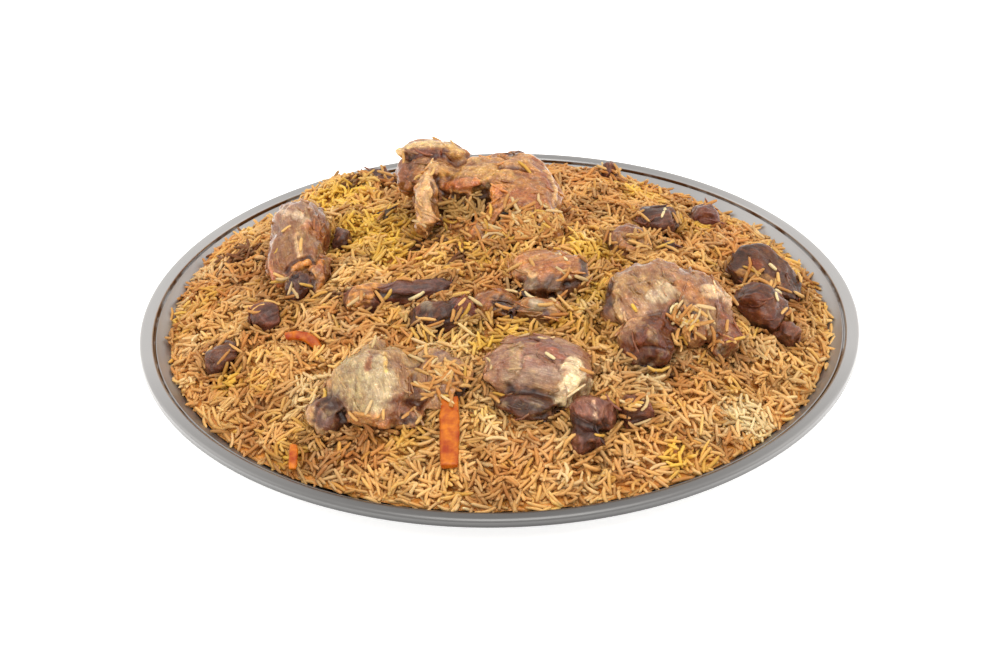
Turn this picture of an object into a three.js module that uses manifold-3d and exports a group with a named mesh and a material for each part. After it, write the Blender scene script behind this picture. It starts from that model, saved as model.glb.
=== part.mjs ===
// A round steel serving tray heaped with kabuli pulao: browned and saffron rice,
// bone-in lamb on top, and a few carrot pieces. Millimetres, +Z up, the origin at
// the centre of the tray's underside. The front of the heap faces -Y.
import * as THREE from "three";
import { mergeVertices } from "three/addons/utils/BufferGeometryUtils.js";
import Module from "manifold-3d";

const wasm = await Module();
wasm.setup();

// Tray: pressed sheet with a sloped wall, a narrow groove and a rolled bead.
const TRAY_RADIUS = 210;
const SHEET = 1;
const BASE_RADIUS = 169;
const WALL_FOOT_RADIUS = 174;
const GROOVE_RADIUS = 201.2;
const GROOVE_WIDTH = 1.6;
const GROOVE_DEPTH = 0.8;
const GROOVE_TOP = 20;
const BEAD_HALF = [4.2, 3.1];
const BEAD_DROP = 0.6;
const TRAY_SEGMENTS = 48;
// The bead's roll, in degrees round its section, from under the wall to the groove.
const BEAD_START = -135;
const BEAD_END = 180;
const BEAD_STEPS = 7;

// Rice: a low dome that fills the tray to just below the groove.
const RICE_RADIUS = 193;
const RICE_EDGE = 15.9;
const RICE_CROWN = 42;
const RICE_FLOOR = 1.5;
const RICE_FOOT_RADIUS = 168.5;
const RICE_RINGS = 17;
// Bumps as large as the grains: height, shift in the plan, and the broader swells under them.
const RICE_BUMP = 1.7;
const RICE_SHIFT = 1.2;
const RICE_SWELL = 1.2;
const RICE_SWELL_LENGTH = 17;
const RICE_SEED = 5;
// Broad mounds on the dome: [x, y, radius, height].
const RICE_MOUNDS = [
  [-95, 130, 38, 15],
  [-150, 72, 34, 8],
  [54, 142, 34, 8],
  [-5, 5, 45, 5],
];

// Depth of a lump's flat underside below the rice around it.
const SEAT_DEPTH = 3;

// Clearance between pieces that touch.
const GAP = 0.6;

const DEGREE = Math.PI / 180;

// Repeatable random value from 0 to 1 for a lattice point.
function hash(i, j, k, seed) {
  let h = (i * 374761393 + j * 668265263 + k * 2147483647 + seed * 1274126177) | 0;
  h = Math.imul(h ^ (h >>> 13), 1274126177);
  h = Math.imul(h ^ (h >>> 16), 2246822519);
  return ((h ^ (h >>> 15)) >>> 0) / 4294967296;
}

// Smooth noise from -1 to 1, one swell for each unit of length.
function noise(x, y, z, seed) {
  const [i, j, k] = [Math.floor(x), Math.floor(y), Math.floor(z)];
  const ease = (t) => t * t * (3 - 2 * t);
  const [u, v, w] = [ease(x - i), ease(y - j), ease(z - k)];
  const mix = (a, b, t) => a + (b - a) * t;
  const row = (dj, dk) =>
    mix(hash(i, j + dj, k + dk, seed), hash(i + 1, j + dj, k + dk, seed), u);
  return 2 * mix(mix(row(0, 0), row(1, 0), v), mix(row(0, 1), row(1, 1), v), w) - 1;
}

// A closed geometry as a solid, with its doubled corners merged.
function solidOf(geometry) {
  const bare = geometry.index ? geometry.toNonIndexed() : geometry.clone();
  bare.deleteAttribute("normal");
  bare.deleteAttribute("uv");
  const merged = mergeVertices(bare, 1e-3);
  return new wasm.Manifold(
    new wasm.Mesh({
      numProp: 3,
      vertProperties: merged.attributes.position.array,
      triVerts: new Uint32Array(merged.index.array),
    }),
  );
}

// A solid's triangles as a geometry.
function geometryOf(solid) {
  const { vertProperties, triVerts } = solid.getMesh();
  const geometry = new THREE.BufferGeometry();
  geometry.setAttribute("position", new THREE.BufferAttribute(vertProperties, 3));
  geometry.setIndex(new THREE.BufferAttribute(triVerts, 1));
  return geometry;
}

// The largest body of a solid: a cut can leave scraps, which are dropped.
function largestOf(solid) {
  return solid.decompose().sort((a, b) => b.volume() - a.volume())[0];
}

// Height of the bare rice at a point of the plan.
function riceHeight(x, y) {
  const out = Math.hypot(x, y) / RICE_RADIUS;
  let z = RICE_EDGE + RICE_CROWN * (1 - out * out);
  for (const [mx, my, radius, height] of RICE_MOUNDS) {
    z += height * Math.exp(-((x - mx) ** 2 + (y - my) ** 2) / radius ** 2);
  }
  return z;
}

// One lobe of a lump of meat: a rounded block with flat cuts, dents and swells.
//   half   half lengths along its own axes       turn   degrees about x, y, z
//   power  2 is an ellipsoid, more is boxier      cuts   [direction, distance]
//   dents  [direction, width in degrees, depth]   rough  size of its swells, as a share
const LOBE = { turn: [0, 0, 0], power: 2.4, cuts: [], dents: [], rough: 0.07, detail: 1 };

function lobe(given, grow) {
  const { at, half, turn, power, cuts, dents, rough, seed, detail } = { ...LOBE, ...given };
  const geometry = new THREE.IcosahedronGeometry(1, detail);
  const position = geometry.attributes.position;
  const ray = new THREE.Vector3();
  const unit = (way) => new THREE.Vector3(...way).normalize();
  const planes = cuts.map(([way, distance]) => [unit(way), distance]);
  const pits = dents.map(([way, width, depth]) => [unit(way), width * DEGREE, depth]);
  for (let n = 0; n < position.count; n++) {
    ray.fromBufferAttribute(position, n).normalize();
    const { x, y, z } = ray;
    const sum = [x, y, z].reduce((all, part, axis) => all + Math.abs(part / half[axis]) ** power, 0);
    let reach = sum ** (-1 / power);
    for (const [way, distance] of planes) {
      const facing = ray.dot(way);
      if (facing > 0.05) reach = (reach ** -8 + (distance / facing) ** -8) ** (-1 / 8);
    }
    for (const [way, width, depth] of pits) {
      const angle = ray.angleTo(way);
      reach -= depth * Math.exp(-((angle / width) ** 2));
    }
    reach *= 1 + rough * noise(2.3 * x + 7, 2.3 * y, 2.3 * z, seed);
    reach *= 1 + 0.5 * rough * noise(5.1 * x, 5.1 * y + 3, 5.1 * z, seed + 50);
    ray.multiplyScalar(reach + grow);
    position.setXYZ(n, ray.x, ray.y, ray.z);
  }
  const [rx, ry, rz] = turn.map((angle) => angle * DEGREE);
  const place = new THREE.Matrix4().makeRotationFromEuler(new THREE.Euler(rx, ry, rz, "ZYX"));
  geometry.applyMatrix4(place.setPosition(...at));
  return solidOf(geometry);
}

// A carrot baton or shaving: a rounded bar along an arc, which bends away from its side.
//   along  direction of its middle        face  direction of its wide face
function baton({ at, length, wide, thick, bend = 0, along, face }, grow) {
  const outline = new THREE.Shape();
  const sides = 8;
  for (let n = 0; n < sides; n++) {
    const angle = ((n + 0.5) / sides) * 2 * Math.PI;
    const boxy = (value) => Math.sign(value) * Math.abs(value) ** 0.5;
    const x = (wide / 2 + grow) * boxy(Math.cos(angle));
    const y = (thick / 2 + grow) * boxy(Math.sin(angle));
    if (n) outline.lineTo(x, y);
    else outline.moveTo(x, y);
  }
  const depth = length + 2 * grow;
  const bar = new THREE.ExtrudeGeometry(outline, { depth, steps: bend ? 6 : 3, bevelEnabled: false });
  const position = bar.attributes.position;
  for (let n = 0; n < position.count; n++) {
    let z = position.getZ(n) - depth / 2;
    const taper = 1 - 0.16 * Math.abs((2 * z) / depth) ** 3;
    let x = position.getX(n) * taper;
    if (bend) {
      const radius = length / (bend * DEGREE);
      [x, z] = [radius - (radius - x) * Math.cos(z / radius), (radius - x) * Math.sin(z / radius)];
    }
    position.setXYZ(n, x, position.getY(n) * taper, z);
  }
  const axisZ = new THREE.Vector3(...along).normalize();
  const axisX = new THREE.Vector3(...face).cross(axisZ).normalize();
  const place = new THREE.Matrix4().makeBasis(axisX, axisZ.clone().cross(axisX), axisZ);
  bar.applyMatrix4(place.setPosition(...at));
  return solidOf(bar);
}

const FAT = { color: 0xc08a55, roughness: 0.45 };
const LEAN = { color: 0x63392c, roughness: 0.5 };
const CARROT = { color: 0xd9702a, roughness: 0.4 };

// Every piece on the rice, largest and lowest first: a later piece gives way to an earlier one.
// Positions are in the tray's frame, measured on the heap.
const PIECES = [
  {
    name: "shoulder_joint",
    look: FAT,
    lobes: [
      {
        at: [2, 43, 66], half: [38, 39, 20], turn: [22, 3, -4], power: 2.5, seed: 11, detail: 2,
        dents: [[[-0.62, -0.5, 0.5], 25, 17]],
      },
      { at: [-14, 70, 62], half: [34, 19, 20], seed: 18 },
      { at: [-38, 72, 90], half: [24, 12, 8], turn: [0, 7, 6], seed: 12 },
      { at: [-40, 62, 78], half: [18, 17, 15], turn: [-20, 0, 8], seed: 13 },
      { at: [-41, 29, 74], half: [8, 13, 22], turn: [-35, 0, 0], seed: 14 },
      { at: [24, 30, 61], half: [15, 22, 16], turn: [20, -8, 15], seed: 15 },
      { at: [-8, 15, 62], half: [12, 10, 10], seed: 16 },
      { at: [12, 78, 83], half: [7, 6, 4], seed: 17 },
    ],
  },
  {
    name: "shank_slice",
    look: FAT,
    lobes: [
      { at: [29, -31, 62], half: [23, 17, 11], turn: [20, 0, 10], power: 2.6, seed: 21, detail: 2 },
      { at: [31, -45, 59], half: [8, 8, 7], seed: 22 },
      { at: [17, -45, 58], half: [7, 7, 7], seed: 23 },
    ],
  },
  {
    name: "sinew_piece",
    look: FAT,
    lobes: [
      { at: [19, -61, 55], half: [17, 9, 8], turn: [10, 4, 8], seed: 31, rough: 0.14 },
      { at: [-2, -54, 57], half: [13, 10, 7], seed: 32 },
    ],
  },
  {
    name: "long_strip",
    look: LEAN,
    lobes: [
      { at: [-50, -36, 56], half: [28, 9, 8], turn: [10, 2, 2], power: 2.8, seed: 41, detail: 2 },
      { at: [-77, -43, 53], half: [9, 13, 9], turn: [0, -10, 34], seed: 42 },
    ],
  },
  {
    name: "lean_chunk_centre",
    look: LEAN,
    lobes: [
      { at: [-37, -63, 52], half: [15, 11, 11], turn: [14, 0, 4], power: 3, seed: 51 },
      { at: [-20, -59, 55], half: [9, 10, 10], seed: 52 },
    ],
  },
  {
    name: "rib_piece_left",
    look: FAT,
    lobes: [
      { at: [-118, 28, 51], half: [17, 39, 17], turn: [12, 4, -3], power: 2.5, seed: 61, detail: 2 },
      { at: [-115, -14, 46], half: [9, 10, 11], seed: 62 },
      { at: [-104, 0, 46], half: [5, 16, 12], turn: [6, 8, -6], seed: 63 },
    ],
  },
  {
    name: "lean_chunk_left",
    look: LEAN,
    lobes: [{ at: [-134, -33, 38], half: [12, 9, 9], turn: [10, 0, -10], power: 2.8, seed: 71 }],
  },
  {
    name: "lean_chunk_far_left",
    look: LEAN,
    lobes: [{ at: [-156, -58, 28], half: [13, 9, 9], turn: [8, 0, 46], power: 2.8, seed: 81 }],
  },
  {
    name: "neck_piece",
    look: FAT,
    lobes: [
      { at: [-68, -115, 41], half: [26, 27, 16], turn: [16, 0, -14], power: 2.5, seed: 91, detail: 2 },
      { at: [-93, -129, 32], half: [11, 11, 12], turn: [20, 0, 14], seed: 92, rough: 0.12 },
      { at: [-32, -112, 43], half: [24, 19, 11], turn: [14, 6, 10], seed: 93, rough: 0.14 },
      { at: [-49, -135, 35], half: [10, 7, 7], seed: 94 },
      { at: [-69, -90, 51], half: [8, 9, 8], seed: 95 },
    ],
  },
  {
    name: "leg_piece",
    look: FAT,
    lobes: [
      {
        at: [22, -110, 46], half: [31, 23, 15], turn: [12, 6, -8], power: 2.6, seed: 101, detail: 2,
        cuts: [[[-0.1, -0.85, 0.2], 19]],
      },
      { at: [14, -131, 37], half: [19, 9, 9], turn: [0, 4, -12], power: 2.8, seed: 102 },
    ],
  },
  {
    name: "leg_lobe",
    look: LEAN,
    lobes: [
      { at: [48, -138, 37], half: [16, 10, 9], turn: [10, 8, -6], seed: 111 },
      { at: [42, -152, 29], half: [11, 9, 9], seed: 112, rough: 0.12 },
    ],
  },
  {
    name: "lean_bit_front",
    look: LEAN,
    lobes: [{ at: [71, -134, 35], half: [11, 9, 9], turn: [22, 6, 8], power: 3.2, seed: 121 }],
  },
  {
    name: "shoulder_piece_right",
    look: FAT,
    lobes: [
      {
        at: [93, -56, 55], half: [37, 27, 14], turn: [20, 8, -14], power: 2.4, seed: 131, detail: 2,
        dents: [[[0.1, -1, -0.35], 26, 8]],
      },
      { at: [64, -58, 51], half: [8, 10, 9], seed: 132 },
      { at: [80, -84, 45], half: [16, 16, 15], turn: [18, 0, 18], seed: 133 },
      { at: [123, -65, 41], half: [10, 23, 13], turn: [14, 8, 12], seed: 134, rough: 0.12 },
    ],
  },
  {
    name: "lean_block_lower",
    look: LEAN,
    lobes: [
      {
        at: [149, -34, 37], half: [18, 14, 15], turn: [18, 8, -24], power: 3.4, seed: 141, detail: 2,
        cuts: [[[-0.2, -0.8, 0.5], 12], [[0.5, 0.1, 0.8], 12]],
      },
    ],
  },
  {
    name: "lean_block_upper",
    look: LEAN,
    lobes: [
      {
        at: [158, 4, 34], half: [27, 17, 19], turn: [10, 16, -22], power: 3.2, seed: 151, detail: 2,
        cuts: [[[0.55, 0.1, 0.8], 14], [[-0.45, -0.55, 0.65], 16]],
      },
    ],
  },
  {
    name: "lean_nub_right",
    look: LEAN,
    lobes: [{ at: [162, -50, 30], half: [9, 8, 8], seed: 161 }],
  },
  {
    name: "marrow_ring",
    look: FAT,
    lobes: [
      {
        at: [77, 22, 52], half: [13, 14, 9], turn: [14, 0, 20], seed: 171,
        dents: [[[0.3, -0.3, 1], 28, 4]],
      },
    ],
  },
  {
    name: "lean_chunk_back",
    look: LEAN,
    lobes: [{ at: [98, 58, 47], half: [15, 12, 9], turn: [10, 6, -14], power: 2.8, seed: 181 }],
  },
  {
    name: "lean_chunk_back_right",
    look: LEAN,
    lobes: [{ at: [128, 85, 33], half: [10, 11, 11], turn: [6, 12, 0], power: 2.9, seed: 191 }],
  },
  {
    name: "lean_nub_back",
    look: LEAN,
    lobes: [{ at: [73, 142, 37], half: [6, 7, 9], seed: 201 }],
  },
  {
    name: "lean_nub_left",
    look: LEAN,
    lobes: [{ at: [-93, 42, 47], half: [7, 8, 8], seed: 211 }],
  },
  {
    name: "lean_chunk_back_left",
    look: LEAN,
    lobes: [{ at: [-75, 130, 40], half: [13, 12, 10], turn: [8, 0, 12], seed: 221, rough: 0.14 }],
  },
  {
    name: "browned_bit_left",
    look: LEAN,
    lobes: [{ at: [-66, 64, 50], half: [6, 5, 5], seed: 231, detail: 0 }],
  },
  {
    name: "browned_bit_back",
    look: LEAN,
    lobes: [{ at: [100, 23, 48], half: [7, 5, 5], seed: 241, detail: 0 }],
  },
  {
    name: "carrot_baton",
    look: CARROT,
    bar: {
      at: [-27, -149, 36.5], length: 48, wide: 11, thick: 5,
      along: [0, 0.95, 0.31], face: [0, -0.3, 1],
    },
  },
  {
    name: "carrot_curl",
    look: CARROT,
    bar: {
      at: [-103, -67, 42], length: 34, wide: 6, thick: 6, bend: 130,
      along: [-0.7, 0.5, 0.5], face: [0, -0.7, 0.7],
    },
  },
  {
    name: "carrot_bit",
    look: CARROT,
    bar: {
      at: [-109, -155, 25.5], length: 15, wide: 5, thick: 4,
      along: [0, 0.9, 0.45], face: [0, -0.4, 0.9],
    },
  },
];

// Plane of a lump's hidden underside: along the rice below its first lobe, a little under it.
function seatOf({ lobes }) {
  const [x, y] = lobes[0].at;
  const slope = (dx, dy) => (riceHeight(x + dx, y + dy) - riceHeight(x - dx, y - dy)) / 2;
  const up = new THREE.Vector3(-slope(1, 0), -slope(0, 1), 1).normalize();
  const depth = new THREE.Vector3(x, y, riceHeight(x, y)).dot(up) - SEAT_DEPTH;
  return { up: up.toArray(), depth };
}

// The solid of a piece, with all its faces pushed out by grow.
function pieceSolid(piece, grow = 0) {
  if (piece.bar) return baton(piece.bar, grow);
  const lobes = piece.lobes.map((one) => lobe(one, grow));
  const { up, depth } = seatOf(piece);
  return lobes.reduce((joined, part) => joined.add(part)).trimByPlane(up, depth - grow);
}

// Number of a point of the rice: ring r has 6r points, and ring 0 is the centre.
function riceIndex(ring, n) {
  return ring ? 1 + 3 * ring * (ring - 1) + (n % (6 * ring)) : 0;
}

// A point of the rice's top. The outermost ring has no bumps, so that it clears the tray.
function ricePoint(ring, n) {
  const angle = (n / Math.max(6 * ring, 1)) * 2 * Math.PI;
  const radius = (RICE_RADIUS * ring) / RICE_RINGS;
  const [x, y] = [radius * Math.cos(angle), radius * Math.sin(angle)];
  if (ring === RICE_RINGS) return [x, y, riceHeight(x, y)];
  const random = (k) => 2 * hash(ring, n, k, RICE_SEED) - 1;
  const swell = RICE_SWELL * noise(x / RICE_SWELL_LENGTH, y / RICE_SWELL_LENGTH, 0, RICE_SEED);
  const z = riceHeight(x, y) + RICE_BUMP * random(3) + swell;
  return [x + RICE_SHIFT * random(1), y + RICE_SHIFT * random(2), z];
}

// Rice from the tray's floor up. Its side follows the tray's wall, with every third point.
function riceCore() {
  const points = [];
  const faces = [];
  for (let ring = 0; ring <= RICE_RINGS; ring++) {
    for (let n = 0; n < Math.max(6 * ring, 1); n++) points.push(...ricePoint(ring, n));
  }
  for (let ring = 0; ring < RICE_RINGS; ring++) {
    for (let side = 0; side < 6; side++) {
      for (let n = 0; n <= ring; n++) {
        const inner = riceIndex(ring, side * ring + n);
        const outer = side * (ring + 1) + n;
        const corner = riceIndex(ring + 1, outer + 1);
        faces.push(inner, riceIndex(ring + 1, outer), corner);
        if (n < ring) faces.push(inner, corner, riceIndex(ring, side * ring + n + 1));
      }
    }
  }
  const skip = 3;
  const feet = (6 * RICE_RINGS) / skip;
  const foot = points.length / 3;
  const centre = foot + feet;
  for (let n = 0; n < feet; n++) {
    const angle = (n / feet) * 2 * Math.PI;
    points.push(RICE_FOOT_RADIUS * Math.cos(angle), RICE_FOOT_RADIUS * Math.sin(angle), RICE_FLOOR);
    const [low, next] = [foot + n, foot + ((n + 1) % feet)];
    for (let k = n * skip; k < (n + 1) * skip; k++) {
      faces.push(low, riceIndex(RICE_RINGS, k + 1), riceIndex(RICE_RINGS, k));
    }
    faces.push(low, next, riceIndex(RICE_RINGS, (n + 1) * skip), centre, next, low);
  }
  points.push(0, 0, RICE_FLOOR);
  const geometry = new THREE.BufferGeometry();
  geometry.setAttribute("position", new THREE.Float32BufferAttribute(points, 3));
  geometry.setIndex(faces);
  return solidOf(geometry);
}

// Tray profile from the axis out along the underside, round the bead and back inside.
function trayProfile() {
  const slope = (GROOVE_TOP - SHEET) / (GROOVE_RADIUS - WALL_FOOT_RADIUS);
  const wall = (radius) => SHEET + (radius - WALL_FOOT_RADIUS) * slope;
  const points = [[0, 0], [BASE_RADIUS, 0], [WALL_FOOT_RADIUS - 0.6, 0.4], [WALL_FOOT_RADIUS + 3, 1.8]];
  points.push([GROOVE_RADIUS, wall(GROOVE_RADIUS) - 2 * SHEET]);
  for (let n = 0; n <= BEAD_STEPS; n++) {
    const angle = (BEAD_START + ((BEAD_END - BEAD_START) * n) / BEAD_STEPS) * DEGREE;
    const radius = TRAY_RADIUS - BEAD_HALF[0] + BEAD_HALF[0] * Math.cos(angle);
    points.push([radius, GROOVE_TOP - BEAD_DROP + BEAD_HALF[1] * Math.sin(angle)]);
  }
  points.push([GROOVE_RADIUS, GROOVE_TOP - GROOVE_DEPTH]);
  points.push([GROOVE_RADIUS - GROOVE_WIDTH / 2, GROOVE_TOP]);
  points.push([GROOVE_RADIUS - GROOVE_WIDTH, GROOVE_TOP - 0.3]);
  points.push([WALL_FOOT_RADIUS + 2, wall(WALL_FOOT_RADIUS + 2) + 0.4]);
  points.push([WALL_FOOT_RADIUS - 2, SHEET + 0.5], [BASE_RADIUS - 2, SHEET], [0, SHEET]);
  return points.map(([radius, height]) => new THREE.Vector2(radius, height));
}

function mesh(name, geometry, look) {
  const made = new THREE.Mesh(geometry, new THREE.MeshStandardMaterial({ metalness: 0, ...look }));
  made.name = name;
  return made;
}

const platter = new THREE.Group();

const tray = new THREE.LatheGeometry(trayProfile(), TRAY_SEGMENTS);
tray.rotateX(Math.PI / 2);
platter.add(mesh("tray", tray, { color: 0xb4b4b6, metalness: 1, roughness: 0.3 }));

let rice = riceCore();
const placed = [];
for (const piece of PIECES) {
  let solid = pieceSolid(piece);
  const grown = pieceSolid(piece, GAP);
  for (const earlier of placed) solid = solid.subtract(earlier);
  placed.push(grown);
  rice = rice.subtract(grown);
  platter.add(mesh(piece.name, geometryOf(largestOf(solid)), piece.look));
}
platter.add(mesh("rice", geometryOf(largestOf(rice)), { color: 0xc98f55, roughness: 0.7 }));

export default platter;
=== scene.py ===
# A round steel serving tray heaped with kabuli pulao: browned and saffron rice, braised lamb
# on the bone and carrot. Sizes are in millimetres until a mesh is written in metres, +Z up,
# with the tray's underside centred on the origin and the front of the heap towards -Y.
import itertools
import math

import bpy
import numpy as np
from mathutils import Matrix, Vector
from mathutils.bvhtree import BVHTree


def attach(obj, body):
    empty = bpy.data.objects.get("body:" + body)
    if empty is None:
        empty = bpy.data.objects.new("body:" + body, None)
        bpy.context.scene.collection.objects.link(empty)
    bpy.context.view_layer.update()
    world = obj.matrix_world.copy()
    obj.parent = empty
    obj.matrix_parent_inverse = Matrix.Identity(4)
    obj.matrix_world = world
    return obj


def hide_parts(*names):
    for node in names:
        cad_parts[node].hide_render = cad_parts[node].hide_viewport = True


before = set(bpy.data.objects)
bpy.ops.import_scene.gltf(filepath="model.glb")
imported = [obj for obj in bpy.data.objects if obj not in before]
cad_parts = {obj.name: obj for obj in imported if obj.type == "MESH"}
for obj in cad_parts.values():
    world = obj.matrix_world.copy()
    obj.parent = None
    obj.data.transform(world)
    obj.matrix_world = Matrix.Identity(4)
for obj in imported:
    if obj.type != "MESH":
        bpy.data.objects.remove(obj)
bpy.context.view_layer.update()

MM = 0.001

# Camera, as the photograph was taken: 1000 by 666 pixels, a long lens a little above the rim.
PHOTO_WIDTH, PHOTO_HEIGHT = 1000, 666
FOCAL_PIXELS = 2023.6
SENSOR_WIDTH = 36.0
CAMERA_DISTANCE = 1200.0
CAMERA_ELEVATION = math.radians(30.964)
CAMERA_ROLL = math.radians(-1.213)
CAMERA_AIM = Vector((0.373, 0.0, 5.49))

CAMERA_FORWARD = Vector((0.0, math.cos(CAMERA_ELEVATION), -math.sin(CAMERA_ELEVATION)))
CAMERA_PLACE = CAMERA_AIM - CAMERA_DISTANCE * CAMERA_FORWARD
LEVEL_UP = Vector((1.0, 0.0, 0.0)).cross(CAMERA_FORWARD)
CAMERA_RIGHT = Vector((1.0, 0.0, 0.0)) * math.cos(CAMERA_ROLL) + LEVEL_UP * math.sin(CAMERA_ROLL)
CAMERA_UP = LEVEL_UP * math.cos(CAMERA_ROLL) - Vector((1.0, 0.0, 0.0)) * math.sin(CAMERA_ROLL)

# Tray: spun sheet with a sloped wall, a narrow groove and a rolled bead.
TRAY_RADIUS = 210.0
SHEET = 1.0
BASE_RADIUS = 171.0
WALL_FOOT_RADIUS = 174.0
GROOVE_RADIUS = 201.2
GROOVE_WIDTH = 1.6
GROOVE_DEPTH = 0.9
GROOVE_TOP = 20.0
BEAD_HALF = (4.2, 3.1)
BEAD_DROP = 0.6
# 1 makes the bead's section an ellipse, and less flattens its top.
BEAD_FLATNESS = 0.75
TRAY_SIDES = 240

# Heap of rice: the dome under the loose grains, whose top lies this far below the CAD node's.
HEAP_RADIUS = 193.0
HEAP_EDGE = 15.9
HEAP_CROWN = 42.0
# Broad mounds on the dome: x, y, radius, height.
HEAP_MOUNDS = ((-95, 130, 38, 15), (-150, 72, 34, 8), (54, 142, 34, 8), (-5, 5, 45, 5))
BED_DROP = 4.8
# At its edge the dome rises nearer to the top, so that no gap opens at the tray's wall.
EDGE_DROP = 1.7
BED_RADIUS = 192.2
BED_FOOT_RADIUS = 169.0
BED_FLOOR = 1.3

# Cooked long grains.
GRAIN_THICKNESS = 2.05
SHORTEST_GRAIN, LONGEST_GRAIN = 7.5, 14.0
# Broken grains fill the gaps between the whole ones.
SHORTEST_BROKEN, LONGEST_BROKEN = 3.5, 6.5
BROKEN_COUNT, BROKEN_DROP = 36000, 1.0
GRAIN_COUNT = 60000
GRAIN_REACH = 192.5
# How unevenly grains lie, as the slope of one to what is under it.
GRAIN_TILT = 0.25
# Cooked grains are soft, and each sinks this far into what it lies on.
GRAIN_PRESS = 1.88
# How far the laid grains may stand over the heap's height.
GRAIN_PROUD = 1.6
# The rice banked up against the meat.
BANK_WIDTH, BANK_HEIGHT = 9.0, 3.0
# How far from the meat the rice is darkened, and how much: broth has soaked into it there, and painted shade lies
# where the rice meets the meat.
SOAK_AND_SHADE_WIDTH, SOAK_AND_SHADE_DEPTH = 6.5, 0.42
# Pieces that the laid grains don't cover further in than this.
CLEAR_PIECES = ("rib_piece_left", "long_strip", "leg_piece", "carrot_baton", "carrot_curl", "carrot_bit")
CLEAR_EDGE = 2.0
BANK_COUNT = 12000
# Nothing on the plate is higher or wider than this, and from SOFT_TOP up the meat is flattened.
MOST_HEIGHT, SOFT_TOP = 98.4, 90.0
MOST_REACH = 208.6


def linear(code):
    """A colour written as sRGB hex, as linear red, green, blue and a full alpha."""
    parts = [int(code[n : n + 2], 16) / 255 for n in (1, 3, 5)]
    return tuple(c / 12.92 if c <= 0.04045 else ((c + 0.055) / 1.055) ** 2.4 for c in parts) + (1.0,)


def lattice(i, j, k, seed):
    """A repeatable value from 0 to 1 for each point of a lattice."""
    h = (i * 374761393 + j * 668265263 + k * 1442695041 + seed * 1274126177) & 0xFFFFFFFF
    h = ((h ^ (h >> 13)) * 1274126177) & 0xFFFFFFFF
    return (h ^ (h >> 16)) / 2.0**32


def noise(points, length, seed):
    """Smooth noise from -1 to 1 at each point, with one swell for each length."""
    scaled = np.asarray(points) / length
    corner = np.floor(scaled).astype(np.int64)
    part = scaled - corner
    part = part * part * (3 - 2 * part)
    total = 0.0
    for step in itertools.product((0, 1), repeat=3):
        weight = np.prod(np.where(step, part, 1 - part), axis=-1)
        total = total + weight * lattice(*(corner + step).T, seed)
    return 2 * total - 1


def ease(value, low, high):
    """0 below low, 1 above high, and a smooth step between."""
    t = np.clip((value - low) / (high - low), 0, 1)
    return t * t * (3 - 2 * t)


def only(piece):
    """Selects one piece alone and makes it the active one."""
    bpy.ops.object.select_all(action="DESELECT")
    piece.select_set(True)
    bpy.context.view_layer.objects.active = piece


def shaped_by(piece, kind, **settings):
    """Puts one modifier on a piece and applies it."""
    only(piece)
    modifier = piece.modifiers.new(kind, kind)
    for name, value in settings.items():
        setattr(modifier, name, value)
    bpy.ops.object.modifier_apply(modifier=modifier.name)


def places(piece):
    """The vertices of a piece, in millimetres."""
    flat = np.empty(len(piece.data.vertices) * 3, np.float32)
    piece.data.vertices.foreach_get("co", flat)
    return flat.reshape(-1, 3).astype(float) / MM


def place(piece, points):
    """Moves the vertices of a piece to new places."""
    piece.data.vertices.foreach_set("co", (points * MM).astype(np.float32).ravel())
    piece.data.update()


def outward(piece):
    """The normal at each vertex of a piece."""
    flat = np.empty(len(piece.data.vertices) * 3, np.float32)
    piece.data.vertex_normals.foreach_get("vector", flat)
    return flat.reshape(-1, 3).astype(float)


def surface(*made):
    """One tree of all faces of some pieces, to look up places on them."""
    points, faces = [], []
    for piece in made:
        start = len(points)
        points += [Vector(p) for p in places(piece)]
        faces += [[start + v for v in face.vertices] for face in piece.data.polygons]
    return BVHTree.FromPolygons(points, faces)


def keep_attribute(piece, name, kind, values):
    """Stores one value for each vertex, which the piece's material reads."""
    field = {"FLOAT": "value", "FLOAT_VECTOR": "vector", "FLOAT_COLOR": "color"}[kind]
    attribute = piece.data.attributes.new(name, kind, "POINT")
    attribute.data.foreach_set(field, np.asarray(values, np.float32).ravel())


def settle(piece, material, slot, *nodes):
    """Finishes a piece: smooth faces, its material, its body and what it stands for. Its slot is not used."""
    piece.data.materials.clear()
    piece.data.materials.append(material)
    piece.data.shade_smooth()
    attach(piece, "root")
    if nodes:
        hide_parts(*nodes)
    return piece


def add_node(tree, kind, settings=None, inputs=None):
    """Adds a shader node with its settings, its values and the links into it."""
    node = tree.nodes.new(kind)
    for name, value in (settings or {}).items():
        setattr(node, name, value)
    for name, value in (inputs or {}).items():
        if isinstance(value, bpy.types.NodeSocket):
            tree.links.new(value, node.inputs[name])
        else:
            node.inputs[name].default_value = value
    return node


def new_material(name):
    """An empty material, and the tree of nodes in it."""
    material = bpy.data.materials.new(name)
    material.use_nodes = True
    material.node_tree.nodes.clear()
    return material, material.node_tree


def finish_material(tree, shader):
    """Sends a shader to the material's output."""
    add_node(tree, "ShaderNodeOutputMaterial", inputs={"Surface": shader.outputs[0]})


# Colours of mixed nodes: places of their inputs and output when they mix colours.
MIX_FACTOR, MIX_FIRST, MIX_SECOND, MIX_RESULT = 0, 6, 7, 2


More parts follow.
